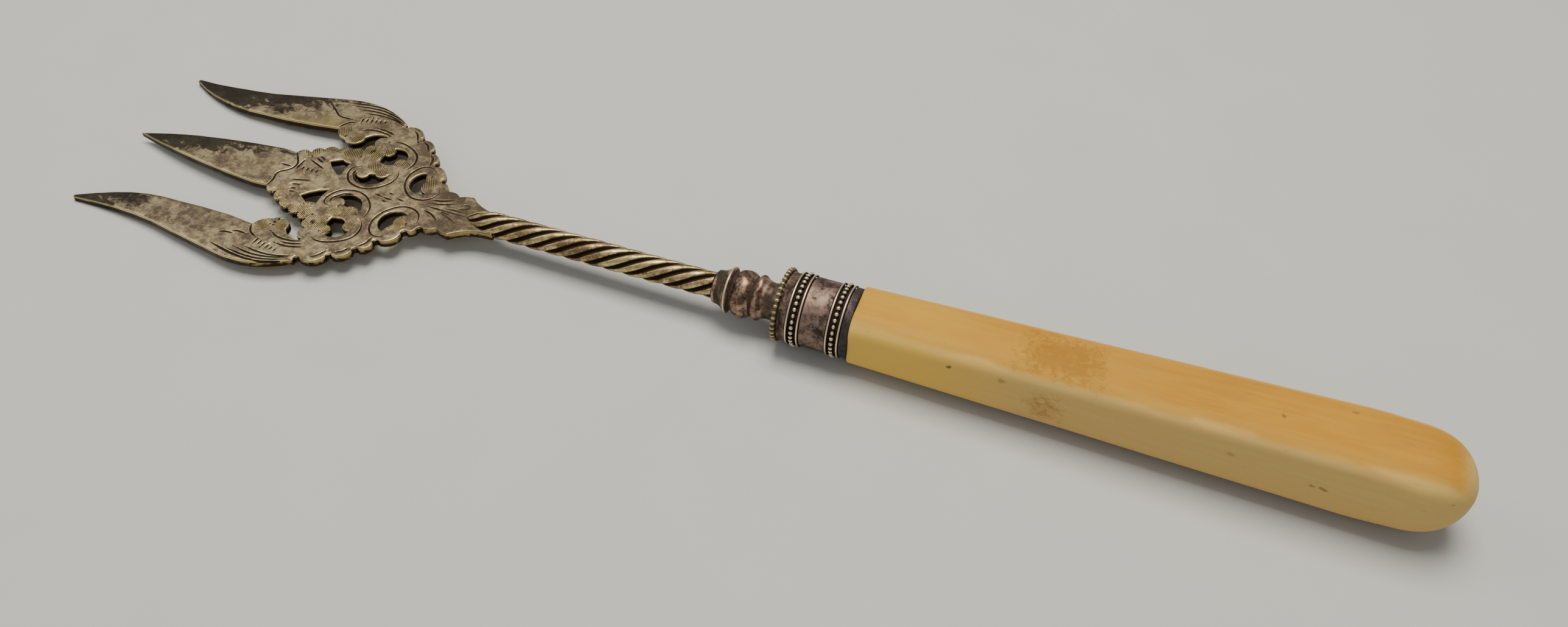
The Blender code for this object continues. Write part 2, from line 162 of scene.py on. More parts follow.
def add_rings(name, node, slot, finish, rings, marks, closed=False):
    """A piece from rings of places: closed to a ring, or else with each end capped to its ring's middle.

    A mark is a grid, or a column with one value for each ring. A pole gets the mean of its ring.
    """
    grid = rings.shape[:2]
    places = rings.reshape(-1, 3)
    faces = [grid_quads(*grid, closed)]
    marks = {mark: np.broadcast_to(values, grid) for mark, values in marks.items()}
    if not closed:
        places = np.concatenate([places, rings[[0, -1]].mean(axis=1)])
        faces.append(end_fans(*grid))
        marks = {mark: np.append(values, values[[0, -1]].mean(axis=1)) for mark, values in marks.items()}
    add_piece(name, node, slot, finish, places, faces, marks)


print("quads of a closed ring of 3 by 4:", len(grid_quads(3, 4, True)))

# %% Steps and bells


def smooth_step(value):
    """0 below 0, 1 above 1, and 3 v^2 - 2 v^3 between."""
    held = np.clip(value, 0.0, 1.0)
    return held * held * (3.0 - 2.0 * held)


def bell(value, middle, size):
    """exp(-d^2), where d is the distance from the middle in sizes."""
    return np.exp(-(((value - middle) / size) ** 2))


print("a bell one size from its middle:", round(float(bell(1.0, 0.0, 1.0)), 3))

# %% [markdown]
# ## Writing finishes as sums
# A finish is a net of nodes. Wiring each by hand hides the idea, so one small class wraps a socket and lets
# Python's own signs add the Math nodes: 1 - mask, mask * grain, and so on. Every other node comes from one
# method that is given the node's type, its settings and its sockets.

# %% The socket class


class Field:
    """A value on its way through a finish."""

    def __init__(self, tree, socket):
        self.tree = tree
        self.socket = socket

    def node(self, kind, settings, sockets, output=0):
        """Adds a node, sets its settings, then gives its sockets values or links."""
        made = self.tree.nodes.new(kind)
        for name, value in settings.items():
            setattr(made, name, value)
        for key, value in sockets.items():
            if isinstance(value, Field):
                self.tree.links.new(value.socket, made.inputs[key])
            else:
                made.inputs[key].default_value = value
        return Field(self.tree, made.outputs[output])

    def math(self, operation, first, second):
        """A Math node on two values."""
        return self.node("ShaderNodeMath", {"operation": operation}, {0: first, 1: second})

    def __add__(self, other):
        return self.math("ADD", self, other)

    def __radd__(self, other):
        return self.math("ADD", other, self)

    def __sub__(self, other):
        return self.math("SUBTRACT", self, other)

    def __rsub__(self, other):
        return self.math("SUBTRACT", other, self)

    def __mul__(self, other):
        return self.math("MULTIPLY", self, other)

    def __rmul__(self, other):
        return self.math("MULTIPLY", other, self)

    def mark(self, name):
        """A float attribute that the mesh carries."""
        return self.node("ShaderNodeAttribute", {"attribute_name": name}, {}, 2)

    def noise(self, scale, detail=3.0, roughness=0.55, twist=0.0):
        """Cloudy noise on this vector; scale is in clouds for each metre."""
        sockets = {"Vector": self, "Scale": scale, "Detail": detail}
        sockets |= {"Roughness": roughness, "Distortion": twist}
        return self.node("ShaderNodeTexNoise", {}, sockets)

    def stretched(self, along):
        """This vector with its length along the fork scaled."""
        return self.node("ShaderNodeMapping", {}, {"Vector": self, "Scale": (along, 1.0, 1.0)})

    def step(self, low, high):
        """0 at low and below, 1 at high and above, smooth between."""
        settings = {"interpolation_type": "SMOOTHSTEP"}
        return self.node("ShaderNodeMapRange", settings, {"Value": self, "From Min": low, "From Max": high})

    def mix(self, low, high):
        """The colour low where this is 0 and high where it is 1."""
        settings = {"data_type": "RGBA", "clamp_factor": True}
        return self.node("ShaderNodeMix", settings, {0: self, 6: low, 7: high}, 2)

    def away_from(self, place):
        """How far this vector is from a place."""
        return self.node("ShaderNodeVectorMath", {"operation": "DISTANCE"}, {0: self, 1: tuple(place)}, 1)

    def bump(self, strength, distance):
        """A normal that leans as if this were a height."""
        return self.node("ShaderNodeBump", {}, {"Height": self, "Strength": strength, "Distance": distance})


print("reflected signs:", [name for name in vars(Field) if name.startswith("__r")])

# %% Tones and new finishes


def tone(red, green, blue):
    """A colour as seen on a screen, 0 to 255, as the linear colour that shaders use."""
    seen = np.array((red, green, blue)) / 255.0
    linear = np.where(seen <= 0.04045, seen / 12.92, ((seen + 0.055) / 1.055) ** 2.4)
    return (*linear.tolist(), 1.0)


def new_finish(name, recipe, **fixed):
    """A Principled finish: fixed values set on its sockets, and a recipe's fields linked to them."""
    made = bpy.data.materials.new(name)
    made.use_nodes = True
    tree = made.node_tree
    shader = tree.nodes["Principled BSDF"]
    for socket, value in fixed.items():
        shader.inputs[socket.replace("_", " ")].default_value = value
    coordinates = tree.nodes.new("ShaderNodeTexCoord")
    for socket, value in recipe(Field(tree, coordinates.outputs["Object"])).items():
        tree.links.new(value.socket, shader.inputs[socket])
    print(f"{name}: {len(tree.nodes)} nodes")
    return made


print("half grey on a screen is", round(tone(128, 128, 128)[0], 3), "in a shader")

# %% [markdown]
# ## The plate's finishes
# All metal here is silver plate over brass. Handling has rubbed the edges back to yellow metal, the flats
# are a warm grey with violet and brown clouds, dirt sits in the cuts, and the tine tips have gone black.
# Painting that would need a picture. Instead each mesh carries marks that are worked out with its shape,
# such as cut, burr, edge, wall and black, and noise breaks up their borders. The pieces share one recipe
# and differ in its tones.

# %% Mix the worn plate
# Each plate's tones: light, cloudy, dark, dirty, and rubbed, which is also used as a painted highlight.
HEAD_TONES = ((208, 191, 150), (154, 137, 108), (90, 78, 69), (36, 26, 15), (210, 192, 136))
STEM_TONES = ((206, 188, 136), (172, 152, 108), (114, 94, 70), (46, 32, 19), (222, 204, 150))
FERRULE_TONES = ((142, 120, 108), (102, 86, 79), (62, 53, 50), (50, 34, 24), (216, 198, 164))
KNOP_TONES = ((172, 142, 120), (108, 88, 75), (52, 42, 35), (52, 42, 31), (212, 194, 156))
BEAD_TONES = ((214, 198, 166), (190, 172, 140), (150, 132, 104), (44, 30, 20), (232, 220, 190))
RIM_TONES = ((182, 164, 108), (148, 130, 84), (100, 84, 56), (74, 60, 38), (214, 198, 142))


def worn_plate(place, tones, rougher=0.0):
    """Mottled plate: dirt where the mark cut is, worn metal where the mark edge is, and a painted highlight
    in the worn tone where the mark burr is.

    Three sizes of noise are added. Their middle values are cloudy, the low ones light and the high ones dark.
    """
    light, cloudy, dark, dirty, rubbed_and_highlight = (tone(*seen) for seen in tones)
    clouds = place.noise(210.0, 4.0, 0.6, 0.8)
    blotches = place.noise(850.0, 4.0, 0.65, 0.5)
    freckles = place.noise(2600.0, 2.0, 0.6)
    mottle = clouds * 0.45 + blotches * 0.4 + freckles * 0.15
    spots = mottle.step(0.505, 0.575)
    colour = mottle.step(0.42, 0.53).mix(light, cloudy)
    colour = (spots * 0.85).mix(colour, dark)
    worn = place.mark("edge") * (blotches + 0.5)
    colour = worn.step(0.35, 0.8).mix(colour, rubbed_and_highlight)
    # Painted highlight: a quarter of the worn tone on the burrs beside each cut.
    colour = (place.mark("burr") * 0.25).mix(colour, rubbed_and_highlight)
    grime = (place.mark("cut") * (0.4 + blotches * 1.2)).step(0.02, 0.24)
    return {
        "Base Color": grime.mix(colour, dirty),
        "Metallic": 1.0 - grime * 0.95,
        "Roughness": 0.3 + rougher + mottle * 0.2 + spots * 0.12 + grime * 0.3,
        "Normal": (blotches * 0.5 + freckles * 0.5).bump(0.3, 0.00007),
    }


print("tones of the worn beads:", BEAD_TONES)

# %% Finish each plated piece
# Strength of the gloss, where 0.5 is the usual one.
DULL = 0.1
SATIN = 0.3


def head_recipe(place):
    """Worn plate, yellower where the mark leaf is, then smoked and black where those marks are.

    The sawn walls are dark brown, partly tarnish and partly painted shade, with brass where the mark scallop
    is.
    Rubbed edges keep half of their shine.
    """
    finish = worn_plate(place, HEAD_TONES)
    patches = place.stretched(0.6).noise(620.0, 5.0, 0.68, 0.6)
    leafy = place.mark("leaf") * (1.0 - place.mark("cut").step(0.02, 0.24))
    colour = (leafy * 0.45).mix(finish["Base Color"], tone(180, 158, 98))
    smoked = (place.mark("smoke") + (patches - 0.5) * 2.0).step(0.2, 0.8)
    colour = (smoked * 0.7).mix(colour, tone(76, 66, 52))
    black = (place.mark("black") + (patches - 0.5) * 3.4).step(0.3, 0.7)
    kept = 1.0 - place.mark("edge").step(0.3, 0.8) * 0.5
    colour = (black * kept * 0.92).mix(colour, tone(50, 47, 41))
    brassy = (place.mark("scallop") + (patches - 0.5) * 2.4).step(0.4, 0.8)
    # Painted shade, in part: the walls' dark brown is tarnish, deepened as painted shade for the walls of the
    # holes.
    sawn = brassy.mix(tone(44, 33, 24), tone(146, 127, 80))
    colour = place.mark("wall").step(0.2, 0.9).mix(colour, sawn)
    return finish | {"Base Color": colour, "Roughness": finish["Roughness"] + black * 0.1}


def ferrule_recipe(place):
    """Darker plate, brown with a violet tinge, and slate-coloured where the mark black is."""
    finish = worn_plate(place, FERRULE_TONES, 0.2)
    colour = (place.mark("black") * 0.85).mix(finish["Base Color"], tone(66, 63, 65))
    return finish | {"Base Color": colour}


def plain_plate(tones, rougher=0.0):
    """A recipe for worn plate in these tones and nothing else."""
    return lambda place: worn_plate(place, tones, rougher)


HEAD_FINISH = new_finish("tarnished_plate", head_recipe, Specular_IOR_Level=DULL)
STEM_FINISH = new_finish("brassy_plate", plain_plate(STEM_TONES), Specular_IOR_Level=DULL)
FERRULE_FINISH = new_finish("dark_plate", ferrule_recipe, Specular_IOR_Level=DULL)
KNOP_FINISH = new_finish("knop_plate", plain_plate(KNOP_TONES, 0.05), Specular_IOR_Level=SATIN)
BEAD_FINISH = new_finish("worn_bead_plate", plain_plate(BEAD_TONES))
RIM_FINISH = new_finish("rim_bead_plate", plain_plate(RIM_TONES))

# %% [markdown]
# ## The head's outline
# The head is sawn from flat sheet: three tines, a scalloped edge, and scroll-shaped holes. The frame
# already has those outlines. They are the edges of the upper face that only one triangle uses, so they can
# be read back and followed, and the dressed head then starts from exactly the packed outline.

# %% Read the outlines
head_corners, head_triangles = read_mesh("fork_head")
plate_middle = head_corners.mean(axis=0)
PLATE_UP = np.linalg.svd(head_corners - plate_middle, full_matrices=False)[2][2]
PLATE_UP = PLATE_UP * np.sign(PLATE_UP[2])
PLATE_ALONG = np.cross(SIDE, PLATE_UP)
from_middle = (head_corners - plate_middle) / MM
HALF_PLATE = (from_middle @ PLATE_UP).max()
TIP = plate_middle + MM * (from_middle @ PLATE_ALONG).min() * PLATE_ALONG
TIP[1] = 0.0
head_offsets = (head_corners - TIP) / MM


def on_plate(points, up):
    """Millimetres back from the tips, across, and above the plate's middle, as places in metres."""
    return TIP + MM * (points[:, :1] * PLATE_ALONG + points[:, 1:] * SIDE + up[:, None] * PLATE_UP)


def head_outlines():
    """Loops of (back, across) points with the metal on their left: the outline, then the holes."""
    upper = head_triangles[((head_offsets @ PLATE_UP)[head_triangles] > 0).all(axis=1)]
    edges = np.concatenate([upper[:, [0, 1]], upper[:, [1, 2]], upper[:, [2, 0]]])
    forward = edges[:, 0] * len(head_offsets) + edges[:, 1]
    backward = edges[:, 1] * len(head_offsets) + edges[:, 0]
    after = dict(edges[~np.isin(forward, backward)].tolist())
    loops = []
    while after:
        here = next(iter(after))
        loop = []
        while here in after:
            loop.append(here)
            here = after.pop(here)
        loops.append(np.stack([head_offsets[loop] @ PLATE_ALONG, head_offsets[loop] @ SIDE], axis=-1))
    return sorted(loops, key=len, reverse=True)


OUTLINES = head_outlines()
RIM_FROM = np.concatenate(OUTLINES)
RIM_TO = np.concatenate([np.roll(loop, -1, axis=0) for loop in OUTLINES])
LOOP_OF_EDGE = np.repeat(np.arange(len(OUTLINES)), [len(loop) for loop in OUTLINES])
print(len(OUTLINES), "loops,", len(RIM_FROM), "corners, plate", round(2 * HALF_PLATE, 3), "mm thick")

# %% [markdown]
# ## Distances on the plate
# Two questions come up again and again: is a point on metal, and how far is it from the nearest edge or
# cut? Both are answered for thousands of points at a time, a block of points against all pieces of a line.

# %% Inside and distance
BLOCK = 2000
TINY = 1e-12
rim_back, rim_across = RIM_FROM.T
rim_run, rim_rise = (RIM_TO - RIM_FROM).T
rim_rise = np.where(rim_rise == 0.0, TINY, rim_rise)


def blocks_of(points):
    """The points in blocks, to spare memory."""
    return np.array_split(points, len(points) // BLOCK + 1)


def crosses_oddly(points):
    """True where a line from the point towards the butt crosses the outlines an odd number of times."""
    back = points[:, :1]
    across = points[:, 1:]
    spans = (rim_across > across) != (RIM_TO[:, 1] > across)
    crossing = rim_back + (across - rim_across) / rim_rise * rim_run
    return (spans & (back < crossing)).sum(axis=1) % 2 == 1


def on_metal(points):
    """True where a point is on metal: a line from it crosses the outlines oddly."""
    return np.concatenate([crosses_oddly(block) for block in blocks_of(points)])


def nearest_on(points, starts, ends):
    """For each point the distance to the nearest straight piece, its number, and the share along it."""
    ahead = ends - starts
    length = np.maximum((ahead**2).sum(axis=1), TINY)
    gap = points[:, None] - starts
    share = np.clip((gap * ahead).sum(axis=-1) / length, 0.0, 1.0)
    away = ((gap - share[..., None] * ahead) ** 2).sum(axis=-1)
    piece = away.argmin(axis=1)
    row = np.arange(len(points))
    return np.sqrt(away[row, piece]), piece, share[row, piece]


def nearest_rim(points):
    """Distance of each point from the nearest sawn edge, and the number of its loop, 0 for the outer one."""
    found = [nearest_on(block, RIM_FROM, RIM_TO) for block in blocks_of(points)]
    distance, edge = (np.concatenate([part[k] for part in found]) for k in range(2))
    return distance, LOOP_OF_EDGE[edge]


print("the middle of the plate is metal:", on_metal(np.array([[30.0, 1.0]])))

# %% [markdown]
# ## The engraver's lines
# A graver ploughs a V-shaped groove and throws up a small burr on both sides. The pattern is the usual one
# of scrolls and leaves: feathered lines on the outer tines' shoulders, rings round each scroll, arcs in the
# scallops, a palmette on the neck, and short hatching on the leaves. A picture could fake it, but light has
# to catch the grooves, so each line is a list of a few points, smoothed, and cut into the surface as
# geometry. Lines are in millimetres back from the tips and out from the middle. Most are drawn for one side
# and mirrored.

# %% Lines on both sides
BOTH_SIDES = [
    [(29.0, 19.2), (32.8, 19.75), (35.8, 19.8), (38.2, 19.25), (40.9, 18.2)],
    [(30.2, 18.75), (33.4, 19.2), (36.4, 19.15), (39.0, 18.5), (41.3, 17.6)],
    [(31.4, 18.1), (34.1, 18.55), (36.6, 18.5), (38.9, 18.05), (41.2, 17.2)],
    [(33.0, 17.5), (35.0, 17.85), (37.2, 17.9), (39.4, 17.55), (41.3, 16.85)],
    [(30.9, 12.8), (31.4, 13.8), (32.0, 14.5), (33.2, 15.1)],
    [(34.9, 13.2), (36.3, 13.9), (37.9, 14.1), (39.4, 13.95), (41.0, 13.5)],
    [(37.7, 14.75), (39.5, 14.6), (41.2, 14.05)],
    [(43.9, 16.25), (44.8, 15.55), (45.7, 14.05)],
    [(46.95, 14.1), (48.0, 13.5), (48.7, 12.35)],
    [(49.7, 11.65), (50.6, 10.6), (50.9, 9.0)],
    [(41.6, 12.2), (42.5, 12.6), (43.95, 12.6), (45.7, 12.0), (47.1, 11.1), (47.9, 10.05)]
    + [(48.2, 8.65), (47.9, 7.4), (47.3, 6.45)],
    [(46.7, 6.2), (47.2, 4.8), (46.8, 3.0), (45.4, 1.4), (43.8, 0.6), (42.2, 0.5), (40.3, 1.15)]
    + [(39.2, 2.5), (38.9, 3.7), (39.2, 4.6), (40.1, 5.0), (40.6, 4.85)],
    [(42.9, 1.25), (41.2, 1.7), (40.1, 2.8), (39.8, 3.7), (40.1, 4.25)],
    [(52.8, 7.85), (52.1, 8.5), (51.2, 8.75), (50.1, 8.4), (49.25, 7.25), (48.9, 5.8), (49.1, 4.25)]
    + [(49.95, 2.65), (51.4, 1.4), (52.8, 1.05), (54.2, 1.3), (55.25, 2.1), (55.8, 3.35), (55.6, 4.15)],
]
FAR_SIDE = [
    [(25.0, 19.0), (26.0, 18.2), (27.0, 17.4), (28.1, 16.5), (29.1, 15.7), (30.2, 15.4), (32.8, 15.4)],
    [(30.45, 0.6), (30.6, 3.25)],
    [(31.6, 3.5), (34.7, 2.3)],
    [(32.25, 4.3), (33.7, 3.6)],
    [(32.6, 4.9), (33.45, 4.5)],
    [(55.7, 1.0), (57.55, 1.35), (59.9, 2.3)],
    [(55.5, 1.75), (57.3, 2.1), (59.2, 3.0)],
    [(60.6, 1.25), (61.5, 1.5), (62.45, 1.9)],
    [(61.0, 2.2), (61.5, 2.5), (62.1, 2.4), (62.2, 2.0), (61.8, 1.85)],
]
NEAR_SIDE = [
    [(27.0, 18.5), (29.5, 19.05), (32.3, 19.6), (35.8, 19.9)],
    [(27.0, 16.0), (27.9, 15.7), (29.3, 15.6)],
    [(28.85, 15.1), (29.9, 14.9), (31.3, 15.05)],
    [(37.1, 15.3), (39.0, 15.35), (40.95, 14.9), (41.8, 14.5)],
    [(31.15, 1.75), (32.8, 1.3), (34.4, 0.8)],
    [(31.85, 2.65), (33.2, 2.3)],
    [(32.2, 3.6), (33.1, 3.35)],
    [(32.4, 4.3), (33.2, 4.1)],
    [(55.55, 0.8), (56.95, 1.2), (58.0, 1.85), (58.7, 2.6)],
    [(58.5, 0.55), (59.7, 0.95), (60.9, 1.5), (61.6, 1.85)],
    [(58.25, 0.25), (59.85, 0.4)],
]
MIDDLE = [
    [(27.9, 5.3), (28.5, 4.1), (29.3, 3.0), (29.9, 2.05), (29.9, 0.9), (29.3, 0.0), (28.3, -0.9)]
    + [(28.15, -1.8), (28.4, -2.9), (28.2, -4.4), (27.9, -5.3)],
    [(27.5, 0.95), (29.3, 0.95)],
    [(55.55, 0.2), (59.1, 0.1), (62.9, 0.0)],
]
print(len(BOTH_SIDES), "mirrored lines,", len(FAR_SIDE) + len(NEAR_SIDE) + len(MIDDLE), "single ones")

# %% Dashes, lozenges and hatching
HATCH_SPACING = 0.29
# Two rows of dashes fan out: under the feathers, and across the middle of the plate.
FANS = [[(33.9 + 0.8 * k, 15.2 + 0.25 * k), (33.75 + 0.8 * k, 16.4 + 0.1 * k)] for k in range(6)]
STEPS = [[(31.4 + 0.85 * k, 1.05), (31.4 + 0.85 * k, 1.7)] for k in range(4)]
# Lozenges as (back, across, half length).
LOZENGES = [
    (46.5, -0.05, 0.55), (48.4, 0.9, 0.4), (48.45, -0.35, 1.0),
    (50.7, 0.05, 0.55), (48.15, -1.05, 0.45),
]
# Leaves as (back, out, radius, lean of the strokes in degrees from the fork's length).
LEAVES = [
    (30.6, 5.6, 1.2, -60), (32.4, 7.4, 1.1, -66), (34.6, 7.8, 1.0, -10), (37.1, 7.6, 1.6, -74),
    (39.0, 9.2, 1.3, -80), (41.0, 9.0, 1.4, -88), (35.7, 11.3, 1.3, -25), (32.4, 12.3, 1.3, -55),
    (44.0, 5.1, 1.1, -80), (42.2, 6.0, 1.2, -62), (43.0, 10.0, 1.0, -70), (46.0, 7.7, 0.9, -85),
    (53.0, 5.2, 1.5, -58),
]


def hatching(back, out, radius, lean):
    """Parallel chords of a circle, a spacing apart."""
    turn = np.radians(lean)
    ahead = np.array((np.cos(turn), np.sin(turn)))
    beside = np.array((-ahead[1], ahead[0]))
    offsets = np.arange(-radius + HATCH_SPACING / 2, radius, HATCH_SPACING)
    reach = np.sqrt(radius**2 - offsets**2)[:, None] * ahead
    centres = np.array((back, out)) + offsets[:, None] * beside
    return list(np.stack([centres - reach, centres + reach], axis=1))


def mirrored(lines):
    """The same lines on the other side of the middle."""
    return [np.array(line) * (1.0, -1.0) for line in lines]


print(sum(len(hatching(*leaf)) for leaf in LEAVES) * 2, "hatching strokes")

# %% Smooth the lines
STROKE_STEP = 0.13
# Cuts as (half width, depth, share of the length that tapers at each end).
LINE_CUT = (0.2, 0.14, 0.2)
PALMETTE_CUT = (0.26, 0.15, 0.4)
LOZENGE_CUT = (0.24, 0.13, 0.5)
HATCH_CUT = (0.085, 0.07, 0.4)


def smoothed(points, step):
    """A Catmull-Rom curve through the points: on each span a cubic whose slopes follow the neighbours."""
    knots = np.array(points, float)
    before = np.concatenate([[2 * knots[0] - knots[1]], knots[:-2]])
    after = np.concatenate([knots[2:], [2 * knots[-1] - knots[-2]]])
    start = knots[:-1]
    end = knots[1:]
    t = np.linspace(0.0, 1.0, 13)[:, None, None]
    curve = 2 * start + (end - before) * t + (2 * before - 5 * start + 4 * end - after) * t**2
    curve = (curve + (3 * start - before - 3 * end + after) * t**3) / 2
    dense = np.concatenate([curve.transpose(1, 0, 2)[:, :-1].reshape(-1, 2), knots[-1:]])
    length = np.concatenate([[0.0], np.cumsum(np.hypot(*np.diff(dense, axis=0).T))])
    even = np.linspace(0.0, length[-1], max(int(length[-1] / step), 2) + 1)
    return np.stack([np.interp(even, length, dense[:, 0]), np.interp(even, length, dense[:, 1])], axis=-1)


def stroke(points, half, depth, taper):
    """One cut: its centre line, and a half width and depth that fall to nothing over the tapered ends."""
    line = smoothed(points, STROKE_STEP)
    share = np.linspace(0.0, 1.0, len(line))
    full = np.clip(np.minimum(share, 1.0 - share) / taper, 0.12, 1.0) ** 0.6
    return line, half * full, depth * full


def all_strokes():
    """Every cut, kind by kind."""
    lines = BOTH_SIDES + mirrored(BOTH_SIDES) + FAR_SIDE + mirrored(NEAR_SIDE) + MIDDLE
    cuts = [stroke(line, *LINE_CUT) for line in lines + FANS + mirrored(FANS) + STEPS]
    cuts.append(stroke([(58.6, 0.65), (60.3, 0.75), (62.0, 0.75)], *PALMETTE_CUT))
    for back, out, half in LOZENGES:
        cuts.append(stroke([(back - half, out + 0.1), (back + half, out - 0.1)], *LOZENGE_CUT))
    for leaf in LEAVES:
        chords = hatching(*leaf)
        cuts += [stroke(chord, *HATCH_CUT) for chord in chords + mirrored(chords)]
    return cuts


STROKES = all_strokes()
print(len(STROKES), "strokes,", sum(len(line) for line, half, depth in STROKES), "points on them")

# %% [markdown]
# ## The plate's surface
# Rows of points follow the sawn edges a little way in, so that the edge can be rounded off. Seven rows
# follow each cut, and a loose grid fills the rest. A Delaunay net joins them all. Then every point gets its
# height at once: the round of the edge, the groove and the burr.

# %% Rows along edges and cuts
RIM_STEP = 0.16
RIM_ROWS = (0.04, 0.1, 0.2)
# Rows beside a cut, in half widths from its middle, and the least distance of their points from the rim.
CUT_ROWS = (-1.9, -1.25, -0.9, 0.0, 0.9, 1.25, 1.9)
CUT_CLEAR = 0.07
CUT_CELL = 0.045


def even_loop(loop, step):
    """Points added between a loop's corners so that no gap is longer than step."""
    ahead = np.roll(loop, -1, axis=0) - loop
    count = np.maximum(np.ceil(np.hypot(*ahead.T) / step).astype(int), 1)
    start = np.repeat(np.arange(len(loop)), count)
    share = (np.arange(count.sum()) - np.repeat(np.cumsum(count) - count, count)) / count[start]
    return loop[start] + ahead[start] * share[:, None]


def rows_inside(loop, distances):
    """The loop moved in by each distance, along the left-hand normal of its neighbours' chord."""
    chord = np.roll(loop, -1, axis=0) - np.roll(loop, 1, axis=0)
    inward = np.stack([-chord[:, 1], chord[:, 0]], axis=-1)
    inward = inward / np.maximum(np.hypot(*inward.T), 1e-9)[:, None]
    rows = np.concatenate([loop + inward * distance for distance in distances])
    wanted = np.repeat(distances, len(loop))
    return rows[(nearest_rim(rows)[0] > 0.9 * wanted) & on_metal(rows)]


def stroke_rows():
    """Rows on both sides of each stroke's centre line, thinned to one point in each cell of a fine grid."""
    rows = []
    for line, half, depth in STROKES:
        ahead = np.gradient(line, axis=0)
        beside = np.stack([-ahead[:, 1], ahead[:, 0]], axis=-1) / np.hypot(*ahead.T)[:, None]
        rows += [line + side * half[:, None] * beside for side in CUT_ROWS]
    points = np.concatenate(rows)
    points = points[on_metal(points) & (nearest_rim(points)[0] > CUT_CLEAR)]
    first = np.unique(np.round(points / CUT_CELL).astype(int), axis=0, return_index=True)[1]
    return points[np.sort(first)]


RINGS = [even_loop(loop, RIM_STEP) for loop in OUTLINES]
RIM = np.concatenate(RINGS)
rim_rows = np.concatenate([rows_inside(ring, RIM_ROWS) for ring in RINGS])
cut_rows = stroke_rows()
print(len(RIM), "on the rim,", len(rim_rows), "beside it,", len(cut_rows), "on cuts")

# %% Fill between the rows
FILL_STEP = 0.42
FILL_CELL = 0.14
# The height of a triangle with equal sides, nearly.
FILL_ROW = 0.87


def fill_points(step, taken, clear):
    """A staggered grid, without the points in a cell that is taken or beside one."""
    low = RIM_FROM.min(axis=0)
    high = RIM_FROM.max(axis=0)
    back, across = np.meshgrid(np.arange(low[0], high[0], step), np.arange(low[1], high[1], step * FILL_ROW))
    back = back + step / 2 * (np.arange(len(back)) % 2)[:, None]
    points = np.stack([back.ravel(), across.ravel()], axis=-1)
    shape = np.ceil((high - low) / clear).astype(int) + 3
    busy = np.zeros(shape, bool)
    cells = np.clip(((taken - low) / clear).astype(int) + 1, 1, shape - 2)
    for shift in np.ndindex(3, 3):
        busy[tuple((cells + np.array(shift) - 1).T)] = True
    here = np.clip(((points - low) / clear).astype(int) + 1, 0, shape - 1)
    points = points[~busy[tuple(here.T)]]
    return points[on_metal(points)]


fill = fill_points(FILL_STEP, np.concatenate([RIM, rim_rows, cut_rows]), FILL_CELL)
TOP = np.concatenate([RIM, rim_rows, cut_rows, fill])
print(len(fill), "points between,", len(TOP), "in all")

# %% Net the points


def netted(points):
    """Delaunay triangles of the points, turned to face up, without those whose middle is not on metal."""
    made = delaunay_2d_cdt([Vector(point) for point in points.tolist()], [], [], 0, 1e-7, True)
    places = np.array([vertex[:] for vertex in made[0]])
    triangles = np.array(made[2])
    number = np.array([ids[0] for ids in made[3]])
    triangles = triangles[on_metal(places[triangles].mean(axis=1))]
    first, second, third = (places[triangles[:, k]] for k in range(3))
    turn = np.cross(second - first, third - first)
    triangles[turn < 0] = triangles[turn < 0][:, ::-1]
    return number[triangles][np.abs(turn) > 1e-9]


top_faces = netted(TOP)
print("upper face:", len(top_faces), "triangles")

# %% Carve the cuts
EDGE_ROUND = 0.2
# A burr's height in millimetres, and its middle and size in half widths of its cut.
BURR = 0.008
BURR_MIDDLE = 1.3
BURR_SIZE = 0.28
# Cuts run out over this distance from the rim.
RUN_OUT = 0.25


def carved(points):
    """How deep the cuts are at each point, that depth as a share, and how strong the burr is.

    A cut's section is a V: depth times 1 - distance / half width. Its burr is a bell just outside the edge.
    Hatching is too fine to have one. The burr's strength also places a painted highlight.
    """
    depth, share, burr = np.zeros((3, len(points)))
    for line, half, deep in STROKES:
        margin = 2.2 * half.max()
        near = ((points > line.min(axis=0) - margin) & (points < line.max(axis=0) + margin)).all(axis=1)
        near = np.flatnonzero(near)
        if len(near) == 0:
            continue
        away, piece, part = nearest_on(points[near], line[:-1], line[1:])
        width = half[piece] * (1 - part) + half[piece + 1] * part
        below = deep[piece] * (1 - part) + deep[piece + 1] * part
        fall = np.clip(1.0 - away / width, 0.0, 1.0)
        raised = bell(away / width, BURR_MIDDLE, BURR_SIZE) * (half.max() > HATCH_CUT[0])
        depth[near] = np.maximum(depth[near], below * fall)
        share[near] = np.maximum(share[near], fall)
        burr[near] = np.maximum(burr[near], raised)
    return depth, share, burr * (share < 0.02)


def rim_gap(points):
    """Distance from the sawn edge, for points of which the first are the rim's own."""
    return np.concatenate([np.zeros(len(RIM)), nearest_rim(points[len(RIM) :])[0]])


def edge_drop(gap):
    """How far a rounded edge has fallen at a gap from the rim: r - sqrt(r^2 - (r - gap)^2)."""
    inside = np.clip(EDGE_ROUND - gap, 0.0, EDGE_ROUND)
    return EDGE_ROUND - np.sqrt(EDGE_ROUND**2 - inside**2)


top_gap = rim_gap(TOP)
cut_depth, cut_share, cut_burr_and_highlight = carved(TOP)
near_rim = smooth_step(top_gap / RUN_OUT)
top_height = HALF_PLATE - edge_drop(top_gap) - cut_depth * near_rim + BURR * cut_burr_and_highlight * near_rim
print("deepest cut", round(cut_depth.max(), 3), "mm")

# %% [markdown]
# ## The tines as they are
# Sawn by hand and long used, the tines are less regular than their outline: the tips are filed thinner, the
# middle tine is bent up by about a millimetre, and the outer tips run on a little. Sculpting would do this
# by eye. Here each change is a small sum of the place on the plate, added to all points at once.

